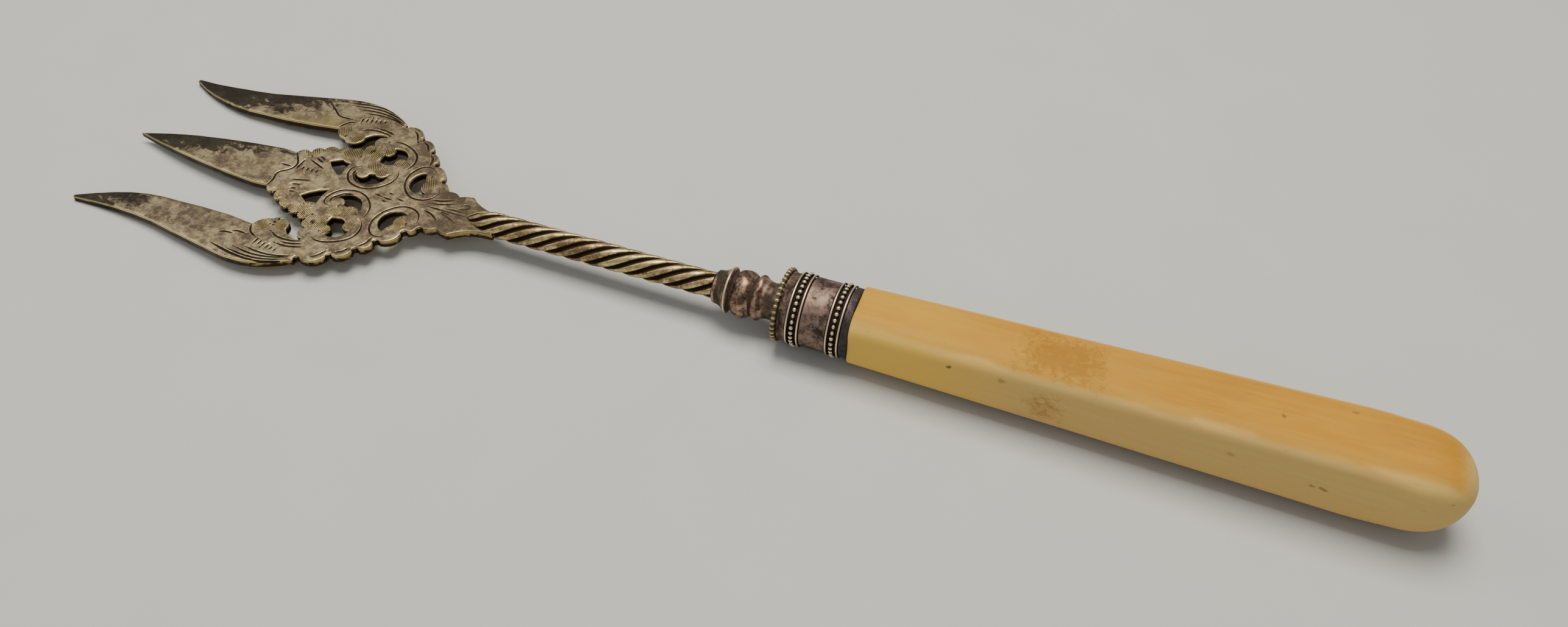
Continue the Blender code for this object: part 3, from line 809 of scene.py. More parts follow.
# %% Bend and file the tines
# Points further out than this are on an outer tine.
OUTER_TINE = 8.0
OUTER_FADE = 3.0
LIFT = 0.9
LIFT_END = 46.0
LIFT_LENGTH = 34.0
LIFT_HALF_WIDTH = 11.0
LIFT_FADE = 4.5
TIP_SHARE = 0.66
FILED_LENGTH = 11.0
FAR_STRETCH = 0.6
NEAR_STRETCH = 1.35
TIP_REACH = 12.0
SLIMMER = 0.38
MIDDLE_HALF_WIDTH = 2.2
NEAR_SHIFT = 0.3
ARCH_START = 1.0
ARCH_LENGTH = 26.0


def filed_and_lifted(points, height):
    """Heights on the finished tines.

    Towards the tips the upper side comes down to TIP_SHARE of the thickness. The lift of the middle tine is
    full at its tip, gone at the root, and only between the slots.
    """
    share = TIP_SHARE + (1.0 - TIP_SHARE) * smooth_step(points[:, 0] / FILED_LENGTH)
    back = smooth_step((LIFT_END - points[:, 0]) / LIFT_LENGTH)
    middle = smooth_step((LIFT_HALF_WIDTH - np.abs(points[:, 1])) / LIFT_FADE)
    return (height + HALF_PLATE) * share - HALF_PLATE + LIFT * back * middle


def drawn_out(points):
    """Points moved to the tines' true lines.

    The outer tips run further forward, by nothing at TIP_REACH. The middle tine's far edge is slimmer and the
    whole near tine stands a little further out, both as the arch of a sine along the tine.
    """
    back, across = points.T
    outer = smooth_step((np.abs(across) - OUTER_TINE) / OUTER_FADE)
    stretch = np.where(across > 0, FAR_STRETCH, NEAR_STRETCH)
    forward = stretch * np.clip(1.0 - back / TIP_REACH, 0.0, 1.0) ** 2 * outer
    arch = np.sin(np.pi * np.clip((back - ARCH_START) / ARCH_LENGTH, 0.0, 1.0))
    middle = SLIMMER * np.clip(across / MIDDLE_HALF_WIDTH, 0.0, 1.0) * (1.0 - outer)
    near = NEAR_SHIFT * outer * (across < 0)
    return points - np.stack([forward, arch * (middle + near)], axis=-1)


tip_rise = filed_and_lifted(np.zeros((1, 2)), -HALF_PLATE)[0] + HALF_PLATE
print("the middle tip rises by", round(tip_rise, 2), "mm")

# %% [markdown]
# ## Tarnish and dirt on the plate
# The tips have gone black, grime clouds the rear edge and the neck, the hatched leaves stay yellow, and the
# scalloped edge shows brass. These could be painted as weights by hand. As sums of the place on the plate
# they follow the shape whenever it changes. The last cell closes the plate with its sawn wall and a plain
# under face and hands over all marks.

# %% Where tarnish and dirt sit
# The far, middle and near tine as (near edge, far edge, where the black ends at the near, at the far edge).
BLACK_TINES = [(11.7, 18.5, 11.0, 29.0), (-3.5, 4.0, 6.0, 25.0), (-17.5, -12.0, 6.0, 11.0)]
BLACK_FADE = 12.0
SMOKE_WIDTH = 2.6
REAR_START = 36.0
NECK_START = 55.0
LEAF_RIM = 0.25
FAR_TINE_END = 31.5
SCALLOP_START = 29.0
SCALLOP_OUT = 14.0
SCALLOP_BACK = 41.0
NOTCHES = [(42.1, 17.15), (46.6, 15.05), (49.8, 12.45), (51.9, 9.75), (55.1, 6.5), (56.8, 4.4)]


def blackened(points):
    """0.5 where the black tarnish ends on a tine, more in front of that and less behind it.

    On each tine it ends at near + (far - near) * share, where share goes from 0 on the tine's near edge to 1
    on its far edge. So it reaches further along the far edges.
    """
    back, across = points.T
    limits = []
    for low, high, near, far in BLACK_TINES:
        limits.append(near + (far - near) * np.clip((across - low) / (high - low), 0.0, 1.0))
    limit = np.where(across > OUTER_TINE, limits[0], np.where(across < -OUTER_TINE, limits[2], limits[1]))
    return np.clip(0.5 + (limit - back) / BLACK_FADE, -1.2, 1.6)


def smoky(points, gap):
    """How strongly grime clouds the plate: along its rear edge and at the neck."""
    edge = smooth_step((SMOKE_WIDTH - gap) / SMOKE_WIDTH) * smooth_step((points[:, 0] - REAR_START) / 8.0)
    neck = smooth_step((points[:, 0] - NECK_START) / 5.0)
    return np.clip(0.45 * edge + 0.6 * neck, 0.0, 0.7)


def leafy(points):
    """1 on the hatched leaves and nearly on the far tine behind its black tip, 0 away from them."""
    back, across = points.T
    mask = 0.9 * smooth_step((across - OUTER_TINE) / 2.0) * smooth_step((FAR_TINE_END - back) / 1.5)
    mask = mask * smooth_step(-blackened(points) / 0.6)
    for middle, out, radius, lean in LEAVES:
        away = np.hypot(back - middle, np.abs(across) - out)
        mask = np.maximum(mask, smooth_step((radius + LEAF_RIM - away) / 0.4))
    return mask


def brass_edge(points):
    """0.75 on the scalloped edge, less at the bottom of its notches, 0 on the tines and in the holes."""
    back = points[:, 0]
    out = np.abs(points[:, 1])
    outside = (out > SCALLOP_OUT) | (back > SCALLOP_BACK)
    in_hole = nearest_rim(points)[1] > 0
    notch = np.min([np.hypot(back - x, out - y) for x, y in NOTCHES], axis=0)
    begun = smooth_step((back - SCALLOP_START) / 8.0)
    return 0.75 * begun * outside * ~in_hole * smooth_step((notch - 0.35) / 0.5)


print("share of the upper face in the black:", round(float((blackened(TOP) > 0.5).mean()), 3))

# %% Close the plate
UNDER_STEP = 1.1
UNDER_CELL = 0.5
WALL_ROWS = 3
UNDER_RIM_WALL = 0.7


def close_plate():
    """Upper face, sawn wall and plain under face, joined along the rim, with their marks."""
    under_rows = np.concatenate([rows_inside(ring, RIM_ROWS[1:]) for ring in RINGS])
    under_fill = fill_points(UNDER_STEP, np.concatenate([RIM, under_rows]), UNDER_CELL)
    under = np.concatenate([RIM, under_rows, under_fill])
    share = np.linspace(0.0, 1.0, WALL_ROWS + 2)[1:-1]
    wall_height = np.repeat((HALF_PLATE - EDGE_ROUND) * (1 - 2 * share), len(RIM))
    points = np.concatenate([TOP, np.tile(RIM, (WALL_ROWS, 1)), under])
    heights = np.concatenate([top_height, wall_height, edge_drop(rim_gap(under)) - HALF_PLATE])
    heights = filed_and_lifted(points, heights)
    count = np.array([len(ring) for ring in RINGS])
    beside = np.concatenate([np.roll(np.arange(size), -1) for size in count])
    beside = beside + np.repeat(np.cumsum(count) - count, count)
    here = np.arange(len(RIM))
    starts = [0] + [len(TOP) + row * len(RIM) for row in range(WALL_ROWS + 1)]
    walls = [
        np.stack([lower + here, lower + beside, upper + beside, upper + here], axis=-1)
        for upper, lower in zip(starts, starts[1:])
    ]
    under_faces = netted(under)[:, ::-1] + starts[-1]
    wall = np.zeros(len(points))
    wall[len(TOP) : starts[-1]] = 1.0
    wall[starts[-1] : starts[-1] + len(RIM)] = UNDER_RIM_WALL
    # The burr mark places a painted highlight beside the cuts.
    marks = {"cut": cut_share, "burr": cut_burr_and_highlight, "edge": bell(top_gap, 0.0, EDGE_ROUND)}
    marks |= {"leaf": leafy(TOP), "smoke": smoky(TOP, top_gap)}
    plain = np.zeros(len(points) - len(TOP))
    marks = {mark: np.concatenate([values, plain]) for mark, values in marks.items()}
    upper_side = 0.35 + 0.65 * smooth_step(0.5 + heights / HALF_PLATE)
    marks |= {"wall": wall, "black": blackened(points), "scallop": brass_edge(points) * upper_side}
    faces = [np.concatenate([top_faces, under_faces]), np.concatenate(walls)]
    return on_plate(drawn_out(points), heights), faces, marks


add_piece("engraved_head", "fork_head", "tarnished_plate", HEAD_FINISH, *close_plate())

# %% [markdown]
# ## The twisted stem
# The stem is a fluted bar that was heated and twisted, so its six ribs run round it as a screw. In front it
# tapers to a nose that is soldered on top of the plate. It could be a curve with a bevel, but a curve has
# no flutes. A grid of angle and length does it: the radius falls in a groove wherever the angle, turned
# back by the twist, comes to a multiple of a sixth of a turn.

# %% Twist the stem
RIBS = 6
RIB_PITCH = 3.4
RIB_START = 0.6
GROOVE_SHARE = 0.56
GROOVE_DEPTH = 0.62
STEEP_FLANK = 0.75
CROWN = 0.12
NOSE_LENGTH = 5.2
STEM_ROWS = 300
STEM_COLUMNS = RIBS * 26
stem_start, stem_end, stem_radius = reach_of("twisted_stem")
neck_end = from_axis(head_corners)[0].max()


def turns(columns):
    """Angles of columns that are spread evenly round the axis."""
    return np.arange(columns) * 2 * np.pi / columns


def round_axis(along, radius, turn):
    """Places at a radius and an angle round the axis."""
    return on_axis(along, radius * np.cos(turn), radius * np.sin(turn))


def stem_grid():
    """Rings of places, with the mark of the groove.

    Radius = full radius - groove depth where the rib's phase is within the groove, rounded on the rib's
    crown, times a fullness that grows along the nose. Over the neck nothing goes below the plate's top.
    """
    turn = turns(STEM_COLUMNS)
    along = np.linspace(stem_start, stem_end, STEM_ROWS)[:, None]
    unturned = np.pi - turn - 2 * np.pi * (along - neck_end - RIB_START) / (RIBS * RIB_PITCH)
    phase = (RIBS * unturned / (2 * np.pi)) % 1.0
    offset = np.minimum(phase, 1.0 - phase)
    flank = GROOVE_SHARE / 2 * np.where(phase < 0.5, STEEP_FLANK, 1.0)
    groove = np.clip(1.0 - offset / flank, 0.0, 1.0) ** 0.8
    crown = CROWN * np.clip((offset - 0.5) / 0.3, -1.0, 0.0) ** 2
    nose = np.clip((along - stem_start) / NOSE_LENGTH, 0.02, 1.0)
    fullness = np.sqrt(1.0 - (1.0 - nose) ** 2) ** 1.3
    radius = fullness * (stem_radius - GROOVE_DEPTH * groove - crown)
    places = round_axis(along, radius, turn)
    above = (places - TIP) @ PLATE_UP / MM - HALF_PLATE
    low = np.where(along < neck_end + 0.02, np.clip(-above, 0.0, None), 0.0)
    return places + MM * low[..., None] * PLATE_UP, groove


stem_rings, stem_groove = stem_grid()
stem_marks = {"cut": stem_groove, "edge": np.clip(1.0 - stem_groove * 3.0, 0.0, 1.0) * 0.35}
add_rings("stem", "twisted_stem", "brassy_plate", STEM_FINISH, stem_rings, stem_marks)

# %% [markdown]
# ## Turned pieces
# Knop and sleeve came off a lathe, so each is a profile of length and radius spun about the axis. The Screw
# modifier would do, but as a grid the radius may also change round the piece, and so the dents of long use
# can be pressed in.

# %% Spin the knop
ROUND = turns(96)
KNOP_PROFILE = [
    (0.0, 2.1), (0.1, 2.45), (0.3, 2.62), (0.9, 2.7), (1.5, 2.92), (2.1, 3.36), (2.38, 3.62),
    (2.55, 3.69), (2.72, 3.62), (2.9, 3.3), (3.12, 3.05), (3.3, 3.1), (3.9, 3.56), (4.75, 3.8),
    (5.5, 3.68), (6.1, 3.34), (6.38, 3.1), (6.52, 3.06), (6.66, 3.14), (6.95, 3.5), (7.25, 3.62),
    (7.6, 3.54), (8.1, 3.16), (8.7, 2.93), (9.3, 2.87), (10.0, 3.0), (10.7, 3.3),
]
KNOP_ROWS = 150
# Where rubbed crests and dirty hollows are on the profile, as (place, size, strength).
KNOP_CRESTS = [(2.5, 0.2, 1.0), (0.3, 0.12, 0.5), (6.9, 0.15, 0.45)]
KNOP_HOLLOWS = [(3.08, 0.22, 0.5), (6.5, 0.2, 0.5)]
COLLAR_DIRT = 0.21
WAIST_DIRT = 0.19
knop_start, knop_end, knop_radius = reach_of("baluster_knop")
# Dents as (along, angle, size, depth).
KNOP_DENTS = [(knop_start + 3.2 + 1.3 * (k % 4), 10.0 + 29.0 * k, 0.75, 0.26) for k in range(12)]


def dented(along, radius, dents):
    """Radius less a bell-shaped hollow for each dent."""
    result = np.broadcast_to(radius, (len(radius), len(ROUND))).copy()
    for place, angle, size, depth in dents:
        swing = (ROUND - np.radians(angle) + np.pi) % (2 * np.pi) - np.pi
        result -= depth * bell(along, place, size) * bell(swing * radius, 0.0, size)
    return result


def bells(along, rows):
    """The sum of bells along a profile."""
    return sum(strength * bell(along, place, size) for place, size, strength in rows)


even_profile = smoothed(KNOP_PROFILE, 0.02)
even_profile = even_profile[np.linspace(0, len(even_profile) - 1, KNOP_ROWS).round().astype(int)]
drawn_along = even_profile[:, :1]
drawn_radius = even_profile[:, 1:]
knop_along = knop_start + drawn_along * (knop_end - knop_start) / drawn_along.max()
knop_radii = dented(knop_along, drawn_radius * knop_radius / drawn_radius.max(), KNOP_DENTS)
on_collar = smooth_step((2.2 - drawn_along) / 0.4) * smooth_step((drawn_along - 0.4) / 0.3)
on_waist = smooth_step((drawn_along - 8.0) / 0.8)
knop_dirt = bells(drawn_along, KNOP_HOLLOWS) + WAIST_DIRT * on_waist + COLLAR_DIRT * on_collar
knop_marks = {"cut": knop_dirt, "edge": np.clip(bells(drawn_along, KNOP_CRESTS), 0.0, 1.0)}
knop_rings = round_axis(knop_along, knop_radii, ROUND)
add_rings("knop", "baluster_knop", "dark_plate", KNOP_FINISH, knop_rings, knop_marks)

# %% [markdown]
# ## The ferrule's sleeve
# A thin rolled sleeve grips the bone. It has a hollow cove in front, then two shallow grooves in which the
# wires lie. Its profile is walked along the outside and back through the bore, so the grid closes both ways
# and the sleeve stays an open tube like the real one.

# %% Roll the sleeve
SLEEVE_WALL = 0.7
SLEEVE_ROWS = 220
BORE_STRIDE = 40
BAND_DEPTH = 0.3
BAND_MARGIN = 0.1
BAND_STEP = 0.08
COVE_DEPTH = 0.22
COVE_DIRT = 0.12
END_ROUND = 0.15
END_DROP = 0.1
SLEEVE_DENTS = [(13.84, 130, 0.5, 0.1), (12.7, 97, 0.3, 0.12), (14.6, 160, 0.9, 0.05), (14.2, 60, 1.0, 0.06)]
WIRES = [f"{band}_band_{wire}_wire" for band in ("front", "rear") for wire in ("front", "bead", "rear")]
WIRE_PLACES = {name: reach_of(name) for name in WIRES + ["rim_bead_wire"]}
BANDS = [
    (WIRE_PLACES[front][0] - BAND_MARGIN, WIRE_PLACES[rear][1] + BAND_MARGIN)
    for front, rear in zip(WIRES[::3], WIRES[2::3])
]
sleeve_start, sleeve_end, sleeve_radius = reach_of("ferrule_sleeve")
bore_radius = sleeve_radius - SLEEVE_WALL


def sleeve_outside():
    """Length, radius and dirt along the outside: cove, and a flat floor with short steps under each band."""
    along = np.linspace(sleeve_start, sleeve_end, SLEEVE_ROWS)
    share = np.clip((along - sleeve_start) / (BANDS[0][0] - sleeve_start), 0.0, 1.0)
    cove = np.sin(np.pi * share)
    floor = np.zeros_like(along)
    for low, high in BANDS:
        floor += smooth_step((along - low) / BAND_STEP) * smooth_step((high - along) / BAND_STEP)
    ends = smooth_step((along - sleeve_start) / END_ROUND) * smooth_step((sleeve_end - along) / END_ROUND)
    radius = sleeve_radius - COVE_DEPTH * cove - BAND_DEPTH * floor - END_DROP * (1.0 - ends)
    return along, radius, np.clip(floor + COVE_DIRT * cove * (share < 1), 0.0, 1.0)


outer_along, outer_radius, outer_dirt = sleeve_outside()
bore_along = outer_along[::-BORE_STRIDE]
sleeve_along = np.append(outer_along, bore_along)[:, None]
sleeve_radii = np.append(outer_radius, np.full(len(bore_along), bore_radius))[:, None]
sleeve_dirt = np.append(outer_dirt, np.zeros(len(bore_along)))[:, None]
sleeve_rings = round_axis(sleeve_along, dented(sleeve_along, sleeve_radii, SLEEVE_DENTS), ROUND)
sleeve_marks = {"cut": sleeve_dirt, "black": smooth_step((sleeve_along - BANDS[1][1]) / 0.2)}
add_rings("sleeve", "ferrule_sleeve", "dark_plate", FERRULE_FINISH, sleeve_rings, sleeve_marks, closed=True)

# %% [markdown]
# ## Wires and beads
# Each band is a beaded wire between two plain ones, and one more beaded wire runs round the rim. Such wire
# was rolled between grooved wheels, which leaves near-round beads on a core. Separate spheres would hide
# how it is held, so the wire's own thickness follows a row of circles, never thinner than the core.

# %% Bend the wires
BEADS = {"rim_bead_wire": 38, "front_band_bead_wire": 36, "rear_band_bead_wire": 36}
WIRE_STEPS = 12
WIRE_COLUMNS = 160
BEAD_STEPS = 16
BEAD_CORE = 0.3
RIM_CORE = 0.68
BEAD_SHARE = 0.36
BEAD_SWELL = 1.35
# Some beads are rubbed flat round this angle.
RUBBED_BEADS = 0.25
RUBBED_ANGLE = np.radians(147.0)
RUBBED_SIZE = 0.22
# The sine of the angle round a wire below which dirt sits on it.
WIRE_DIRT = 0.78
BEAD_DIRT = 0.3


def wire_ring(along, outer, thick, beads, least):
    """A torus about the axis, with the mark of the gaps.

    Its thickness is r sqrt(1 - s^2) at a share s of the bead's half length from its middle, but never less
    than the core's.
    """
    columns = beads * BEAD_STEPS if beads else WIRE_COLUMNS
    turn = turns(columns)
    thick = thick * BEAD_SWELL if beads else thick
    core = np.full(columns, thick)
    gap = np.zeros(columns)
    if beads:
        stray = ((turn / (2 * np.pi) * beads) % 1.0 - 0.5) / BEAD_SHARE
        ball = thick * np.sqrt(np.clip(1.0 - stray**2, 0.0, None))
        core = np.maximum(ball * (1.0 - RUBBED_BEADS * bell(turn, RUBBED_ANGLE, RUBBED_SIZE)), least * thick)
        gap = 1.0 - smooth_step((ball / thick - least) / (1.0 - least) / 0.5)
    round_wire = turns(WIRE_STEPS)[:, None]
    radius = outer - thick + core * np.sin(round_wire)
    places = round_axis(along - core * np.cos(round_wire), radius, turn)
    inner = smooth_step(((BEAD_DIRT if beads else WIRE_DIRT) - np.sin(round_wire)) / 0.6)
    return places, np.maximum(gap, inner)


for wire, (first, last, outer) in WIRE_PLACES.items():
    on_rim = wire.startswith("rim")
    least = RIM_CORE if on_rim else BEAD_CORE
    rings, gap = wire_ring((first + last) / 2, outer, (last - first) / 2, BEADS.get(wire, 0), least)
    finish = RIM_FINISH if on_rim else BEAD_FINISH
    marks = {"cut": gap, "edge": np.clip(0.6 - gap, 0.0, 1.0)}
    add_rings(wire.replace("_wire", "_ring"), wire, "worn_bead_plate", finish, rings, marks, closed=True)

# %% [markdown]
# ## The bone handle
# The handle was sawn and filed from one piece of bone: nearly square, with soft corners, a little thicker
# towards the butt, and rounded off at the end. Its section is a rounded rectangle, so the grid's columns go
# round four quarter circles and four flats, and its rows go along the taper and then over the butt, where
# the section shrinks as a superellipse. A small wander keeps the faces from looking machined.

# %% The handle's section
CORNER_COLUMNS = 15
FLAT_COLUMNS = 12


def rounded_section(width, height, corner):
    """Across and up for columns round a rounded rectangle: four quarter circles, each followed by a flat."""
    quarter = np.linspace(0.0, np.pi / 2, CORNER_COLUMNS)
    flat = np.arange(1, FLAT_COLUMNS + 1) / (FLAT_COLUMNS + 1)
    arcs = []
    for quadrant, (right, top) in enumerate([(1, 1), (-1, 1), (-1, -1), (1, -1)]):
        turn = quarter + quadrant * np.pi / 2
        across = right * (width / 2 - corner) + corner * np.cos(turn)
        arcs.append(np.stack([across, top * (height / 2 - corner) + corner * np.sin(turn)]))
    columns = []
    for arc, following in zip(arcs, arcs[1:] + arcs[:1]):
        end = arc[..., -1:]
        columns += [arc, end + (following[..., :1] - end) * flat]
    return np.concatenate(columns, axis=-1)


def column_marks():
    """For the columns of the section: 1 on the middle of each corner, and 1 on the flats at the sides."""
    quarter = np.linspace(0.0, 1.0, CORNER_COLUMNS)
    corner = np.append(np.sin(np.pi * quarter) ** 6, np.zeros(FLAT_COLUMNS))
    rising = np.append(smooth_step(quarter * 2.0 - 0.5), np.ones(FLAT_COLUMNS))
    falling = np.append(smooth_step(1.5 - quarter * 2.0), np.zeros(FLAT_COLUMNS))
    return np.tile(corner, 4), np.tile(np.append(falling, rising), 2)


print("columns round the handle:", 4 * (CORNER_COLUMNS + FLAT_COLUMNS))

# %% Shape the handle
# Width, height and corner radius.
FRONT_SIZE = (10.15, 9.95, 2.9)
BUTT_SIZE = (12.65, 12.55, 2.4)
BUTT_ROUND = 8.4
BUTT_SQUARENESS = 2.2
BUTT_SHORTER = 0.8
SHOULDER_EASE = 0.25
SHOULDER_GAP = 0.02
# The corners get softer by this much over this length in front of the butt.
SOFTER = 1.4
SOFT_LENGTH = 17.0
# On the butt the section goes this far towards a full round, whose corner is nearly half its size.
BUTT_ROUNDNESS = 0.8
FULL_CORNER = 0.49
WANDER = 0.05
TENON_GAP = 0.1
BODY_ROWS = 110
BUTT_ROWS = 41
SHOULDER_ROWS = 5
handle_start = sleeve_end + SHOULDER_GAP
handle_end = reach_of("handle")[1] - BUTT_SHORTER


def handle_rows():
    """Length, inset and scale of each row: shoulder, taper, then the butt's round.

    On the butt, scale = cos(t)^p and length = sin(t)^p with p = 2 / squareness.
    """
    ease = np.linspace(0.0, np.pi / 2, SHOULDER_ROWS + 1)[:-1]
    body = np.linspace(handle_start + SHOULDER_EASE, handle_end - BUTT_ROUND, BODY_ROWS)
    turn = np.linspace(0.0, np.pi / 2, BUTT_ROWS + 1)[1:]
    power = 2 / BUTT_SQUARENESS
    round_off = handle_end - BUTT_ROUND + BUTT_ROUND * np.sin(turn) ** power
    along = np.concatenate([handle_start + SHOULDER_EASE * (1 - np.cos(ease)), body, round_off])
    inset = np.append(SHOULDER_EASE * (1 - np.sin(ease)), np.zeros(len(body) + len(turn)))
    scale = np.append(np.ones(len(ease) + len(body)), np.cos(turn).clip(1e-3) ** power)
    return along[:, None], inset[:, None], scale[:, None]


def handle_grid():
    """Rings of places for the handle, with a slow wander of a few hundredths of a millimetre."""
    along, inset, scale = handle_rows()
    share = np.clip((along - handle_start) / (handle_end - BUTT_ROUND - handle_start), 0.0, 1.0)
    width, height, corner = (front + (butt - front) * share for front, butt in zip(FRONT_SIZE, BUTT_SIZE))
    width = (width - 2 * inset) * scale
    height = (height - 2 * inset) * scale
    softened = smooth_step((along - handle_end + SOFT_LENGTH) / SOFT_LENGTH * 1.3)
    corner = (corner - inset) * scale + SOFTER * softened * scale
    roundness = BUTT_ROUNDNESS * smooth_step((1.0 - scale) * 1.3)
    corner = corner + roundness * (FULL_CORNER * np.minimum(width, height) - corner)
    across, up = rounded_section(width, height, corner)
    wander = WANDER * np.sin(along / 7.3 + 0.4) * np.cos(along / 17.0) * scale
    return on_axis(along, across * (1 + wander / 6), up + wander * 0.5)


def tenon_rings(ring):
    """The end of the bone inside the sleeve, out to the shoulder, with its columns in line with a ring's."""
    tenon = bore_radius - TENON_GAP
    along, across, up = from_axis(ring)
    turn = np.arctan2(up, across)
    length = np.array([sleeve_start + TENON_GAP, handle_start])[:, None]
    return round_axis(length, tenon, turn)


bone_body = handle_grid()
bone_rings = np.concatenate([tenon_rings(bone_body[0]), bone_body])
print("handle rows and columns:", bone_rings.shape[:2])

# %% [markdown]
# ## The bone's finish
# Old bone goes the colour of honey. Its sides and butt are painted paler, which is painted light for how
# those faces are lit. Its corners get a painted highlight, and a yellow painted glow lies on the near face at
# the ferrule. It has fine grain along its length with small dark pores, two stains and a few pits, and a
# polish from hands. A photograph wrapped round it would have seams. Instead noise stretched along the fork
# gives grain and pores, marks on the mesh say where sides, corners and stains are, and each pit is a soft
# spot round a place on the surface.

# %% Stains and pits
# Stains as (along, across, up, half length, half width round the handle, strength).
STAINS = [(50.6, -0.5, 5.7, 5.6, 3.6, 1.0), (49.6, -5.8, -0.2, 2.8, 2.8, 0.62)]
# Pits as (along, across, up, size, how much longer than wide, strength).
PITS = [
    (35.2, -5.3, 2.3, 0.5, 1.0, 0.85), (42.9, -5.5, 2.6, 0.6, 1.3, 0.4), (81.0, -0.7, 6.0, 0.4, 1.0, 0.6),
    (90.2, 3.2, 6.1, 0.3, 1.6, 0.35), (82.2, -5.9, 4.9, 0.4, 1.3, 0.4), (75.6, -6.0, 1.2, 0.5, 1.6, 0.28),
    (88.0, -6.1, -0.5, 0.26, 5.0, 0.55), (104.6, -5.6, 2.8, 0.45, 1.0, 0.4),
]


def stained(along, across, up):
    """Up to 1 inside the stains and 0 outside.

    On each stain the larger of two distances counts, along and round the handle, each as a share of its half.
    """
    mask = np.zeros(along.shape)
    for place, aside, above, length, width, strength in STAINS:
        share = np.maximum(np.abs(along - place) / length, np.hypot(across - aside, up - above) / width)
        mask = np.maximum(mask, strength * np.clip(1.5 - share, 0.0, 1.0))
    return mask


bone_along, bone_across, bone_up = from_axis(bone_rings)
stain_mark = stained(bone_along, bone_across, bone_up)
print("share of the handle in a stain:", round(float((stain_mark > 0.5).mean()), 3))

# %% Finish the bone
FRAY = 0.0016
# Middle of a painted glow: yellow painted light on the near face by the ferrule.
PAINTED_GLOW_MIDDLE = on_axis(24.0, -6.0, -1.0)
BUTT_MARK = 5.5


def bone_recipe(place):
    """Honey-coloured bone, painted paler at the sides as painted light: slow clouds, grain along the length,
    stains and pits.
    """
    grain = place.stretched(0.05).noise(1500.0, 3.0, 0.6)
    pores = place.stretched(0.16).noise(2600.0, 2.0, 0.5)
    clouds = place.stretched(0.4).noise(120.0, 3.0, 0.55, 0.4)
    crackle = place.noise(900.0, 4.0, 0.7, 0.8)
    side = place.mark("side")
    colour = clouds.step(0.3, 0.7).mix(tone(188, 138, 49), tone(177, 126, 42))
    colour = (grain.step(0.4, 0.7) * 0.35).mix(colour, tone(196, 148, 58))
    # Painted light: the side flats and the butt are painted paler, for how those faces are lit.
    painted_side_light = (side + (clouds - 0.5) * 0.4).step(0.05, 0.95)
    colour = (painted_side_light * (0.65 + grain * 0.5)).mix(colour, tone(208, 174, 106))
    # Painted light: a yellow glow on the bone near the ferrule, strongest on the side flats.
    painted_glow = place.away_from(PAINTED_GLOW_MIDDLE).step(0.024, 0.006)
    colour = (painted_glow * (0.15 + side * 0.65)).mix(colour, tone(226, 182, 80))
    # Painted highlight: a pale line along the middle of each corner.
    colour = (place.mark("corner") * (clouds.step(0.4, 0.55) * 0.5 + 0.2)).mix(colour, tone(224, 186, 104))
    stain = (place.mark("stain") + (crackle - 0.5) * 2.2).step(0.2, 1.0)
    colour = (stain * 0.5).mix(colour, tone(130, 88, 34))
    frayed = (crackle - 0.5) * FRAY
    for along, across, up, size, longer, strength in PITS:
        middle = on_axis(along, across, up) / (longer, 1.0, 1.0)
        away = place.stretched(1.0 / longer).away_from(middle) + frayed
        colour = (away.step(size * MM, size * MM * 0.4) * strength).mix(colour, tone(80, 58, 28))
    colour = (pores.step(0.68, 0.78) * 0.2).mix(colour, tone(126, 84, 30))
    return {
        "Base Color": colour,
        "Roughness": 0.42 + grain * 0.12 + stain * 0.15,
        "Normal": (grain * 0.6 - stain * crackle * 0.6).bump(0.2, 0.00006),
    }


BONE_FINISH = new_finish("honey_bone", bone_recipe, Specular_IOR_Level=DULL)
on_butt = smooth_step((bone_along - handle_end + BUTT_MARK) / BUTT_MARK)
# The corner mark places a painted highlight along each corner, fading out on the butt.
corner_highlight_mark, painted_side_light_mark = column_marks()
# The side mark places painted light that makes the side flats and the butt paler.
bone_marks = {"corner": corner_highlight_mark * (1.0 - on_butt), "side": np.maximum(painted_side_light_mark, 0.9 * on_butt)}
bone_marks["stain"] = stain_mark
add_rings("bone_handle", "handle", "honey_bone", BONE_FINISH, bone_rings, bone_marks)

# %% [markdown]
# ## What stays hidden
# The tang, the resin round it and the cap behind the rim keep their packed solids. They show little or
# nothing, but someone may take the fork apart, so each gets a finish of its own: two tones in clouds of its
# own size.

# %% Finish the hidden pieces


def clouded(clouds, low, high, roughness, bump):
    """Two tones that follow a noise, which is also the surface's height."""
    colour = clouds.step(0.35, 0.7).mix(tone(*low), tone(*high))
    return {"Base Color": colour, "Roughness": roughness, "Normal": clouds.bump(*bump)}


def steel_recipe(place):
    """Forged steel: dark scale with brighter scratches along the rod."""
    scratches = place.stretched(0.1).noise(2500.0, 3.0, 0.6)
    scale = place.noise(500.0, 4.0, 0.6)
    return clouded(scale, (150, 148, 144), (96, 90, 84), 0.35 + scratches * 0.3, (0.2, 0.0001))


def resin_recipe(place):
    """Set resin: brown-black with fine grit."""
    grit = place.noise(1800.0, 3.0, 0.6)
    return clouded(grit, (70, 46, 26), (38, 24, 14), 0.5 + grit * 0.3, (0.4, 0.0001))


def cap_recipe(place):
    """The sleeve's dark plate, without any marks."""
    clouds = place.noise(400.0, 4.0, 0.6)
    return clouded(clouds, (150, 128, 112), (70, 58, 54), 0.35 + clouds * 0.2, (0.2, 0.00006))


HIDDEN = {
    "tang": new_finish("tang_steel", steel_recipe, Metallic=1.0),
    "tang_cement": new_finish("cutler_resin", resin_recipe),
    "ferrule_cap": new_finish("cap_plate", cap_recipe, Metallic=1.0),
}
for name, finish in HIDDEN.items():
    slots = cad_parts[name].data.materials
    slots.clear()
    slots.append(finish)

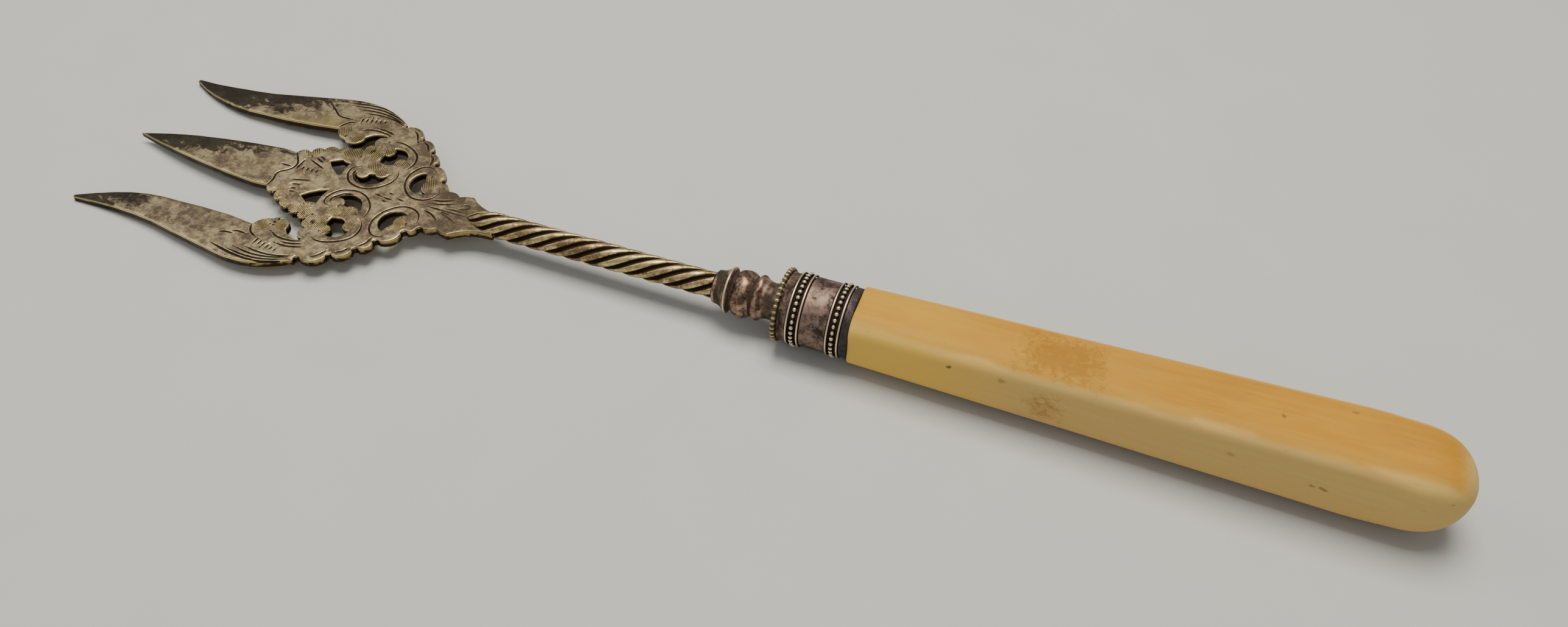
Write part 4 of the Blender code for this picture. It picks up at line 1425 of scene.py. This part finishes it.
# %% [markdown]
# ## Table, light and camera
# The fork lies on a plain pale table under one broad soft lamp, above it and a little behind, with two weak
# fills in front and at the left. The camera's place was worked out from the fork's own straight edges and
# its known length, so it is written as angles round the fork.

# %% Lay the table
TABLE_HALF = 2.5
TABLE_TOP = -0.00002


def table_recipe(place):
    """Pale matt surface with a barely visible mottle."""
    return {"Base Color": place.noise(60.0, 2.0, 0.5).mix(tone(187, 188, 184), tone(193, 194, 189))}


table_mesh = bpy.data.meshes.new("table")
table_corners = [(x * TABLE_HALF, y * TABLE_HALF, TABLE_TOP) for x, y in ((-1, -1), (1, -1), (1, 1), (-1, 1))]
table_mesh.from_pydata(table_corners, [], [(0, 1, 2, 3)])
table_mesh.materials.append(new_finish("table_top", table_recipe, Roughness=0.8))
placed("table", table_mesh)
print("table laid")

# %% Hang the lights
WARM = (1.0, 0.95, 0.86)
COOL = (0.95, 0.96, 0.96)
# Lamps as (place, size, watts, colour).
LAMPS = {
    "over_lamp": ((-0.02, 0.12, 0.62), 0.36, 5.15, WARM),
    "front_fill": ((0.1, -0.6, 0.5), 0.6, 0.95, COOL),
    "left_fill": ((-0.6, 0.0, 0.45), 0.45, 0.9, COOL),
}
SKY_COLOUR = (0.95, 0.97, 1.0, 1.0)
SKY_STRENGTH = 0.25


def hang(name, place, size, watts, colour):
    """A square soft lamp that faces the fork."""
    light = bpy.data.lights.new(name, "AREA")
    light.shape = "SQUARE"
    light.size = size
    light.energy = watts
    light.color = colour
    lamp = placed(name, light)
    lamp.location = place
    lamp.rotation_euler = (-Vector(place)).to_track_quat("-Z", "Y").to_euler()


for name, setting in LAMPS.items():
    hang(name, *setting)
sky = bpy.data.worlds.new("studio")
sky.use_nodes = True
sky.node_tree.nodes["Background"].inputs["Color"].default_value = SKY_COLOUR
sky.node_tree.nodes["Background"].inputs["Strength"].default_value = SKY_STRENGTH
bpy.context.scene.world = sky
print("lamps:", ", ".join(LAMPS))

# %% Place the camera
IMAGE_WIDTH = 2576
FOCAL_PIXELS = 2231.82
SENSOR_WIDTH = 36.0
AZIMUTH, ELEVATION, ROLL = np.radians((17.3274, 48.1025, 3.32))
TARGET = np.array((9.2559, -3.5534, 8.0)) * MM
DISTANCE = 202.7854 * MM
level = np.cos(ELEVATION)
view_back = np.array((np.sin(AZIMUTH) * level, -np.cos(AZIMUTH) * level, np.sin(ELEVATION)))
level_right = np.cross(-view_back, (0.0, 0.0, 1.0))
level_right = level_right / np.linalg.norm(level_right)
level_up = np.cross(level_right, -view_back)
view_right = level_right * np.cos(ROLL) + level_up * np.sin(ROLL)
view_up = level_up * np.cos(ROLL) - level_right * np.sin(ROLL)
lens = bpy.data.cameras.new("photo_camera")
lens.sensor_fit = "HORIZONTAL"
lens.sensor_width = SENSOR_WIDTH
lens.lens = SENSOR_WIDTH * FOCAL_PIXELS / IMAGE_WIDTH
lens.clip_start = 0.005
camera = placed("photo_camera", lens)
turned_by = Matrix(np.stack([view_right, view_up, view_back], axis=-1).tolist()).to_4x4()
camera.matrix_world = Matrix.Translation((TARGET + view_back * DISTANCE).tolist()) @ turned_by
bpy.context.scene.camera = camera
print("lens", round(lens.lens, 2), "mm")
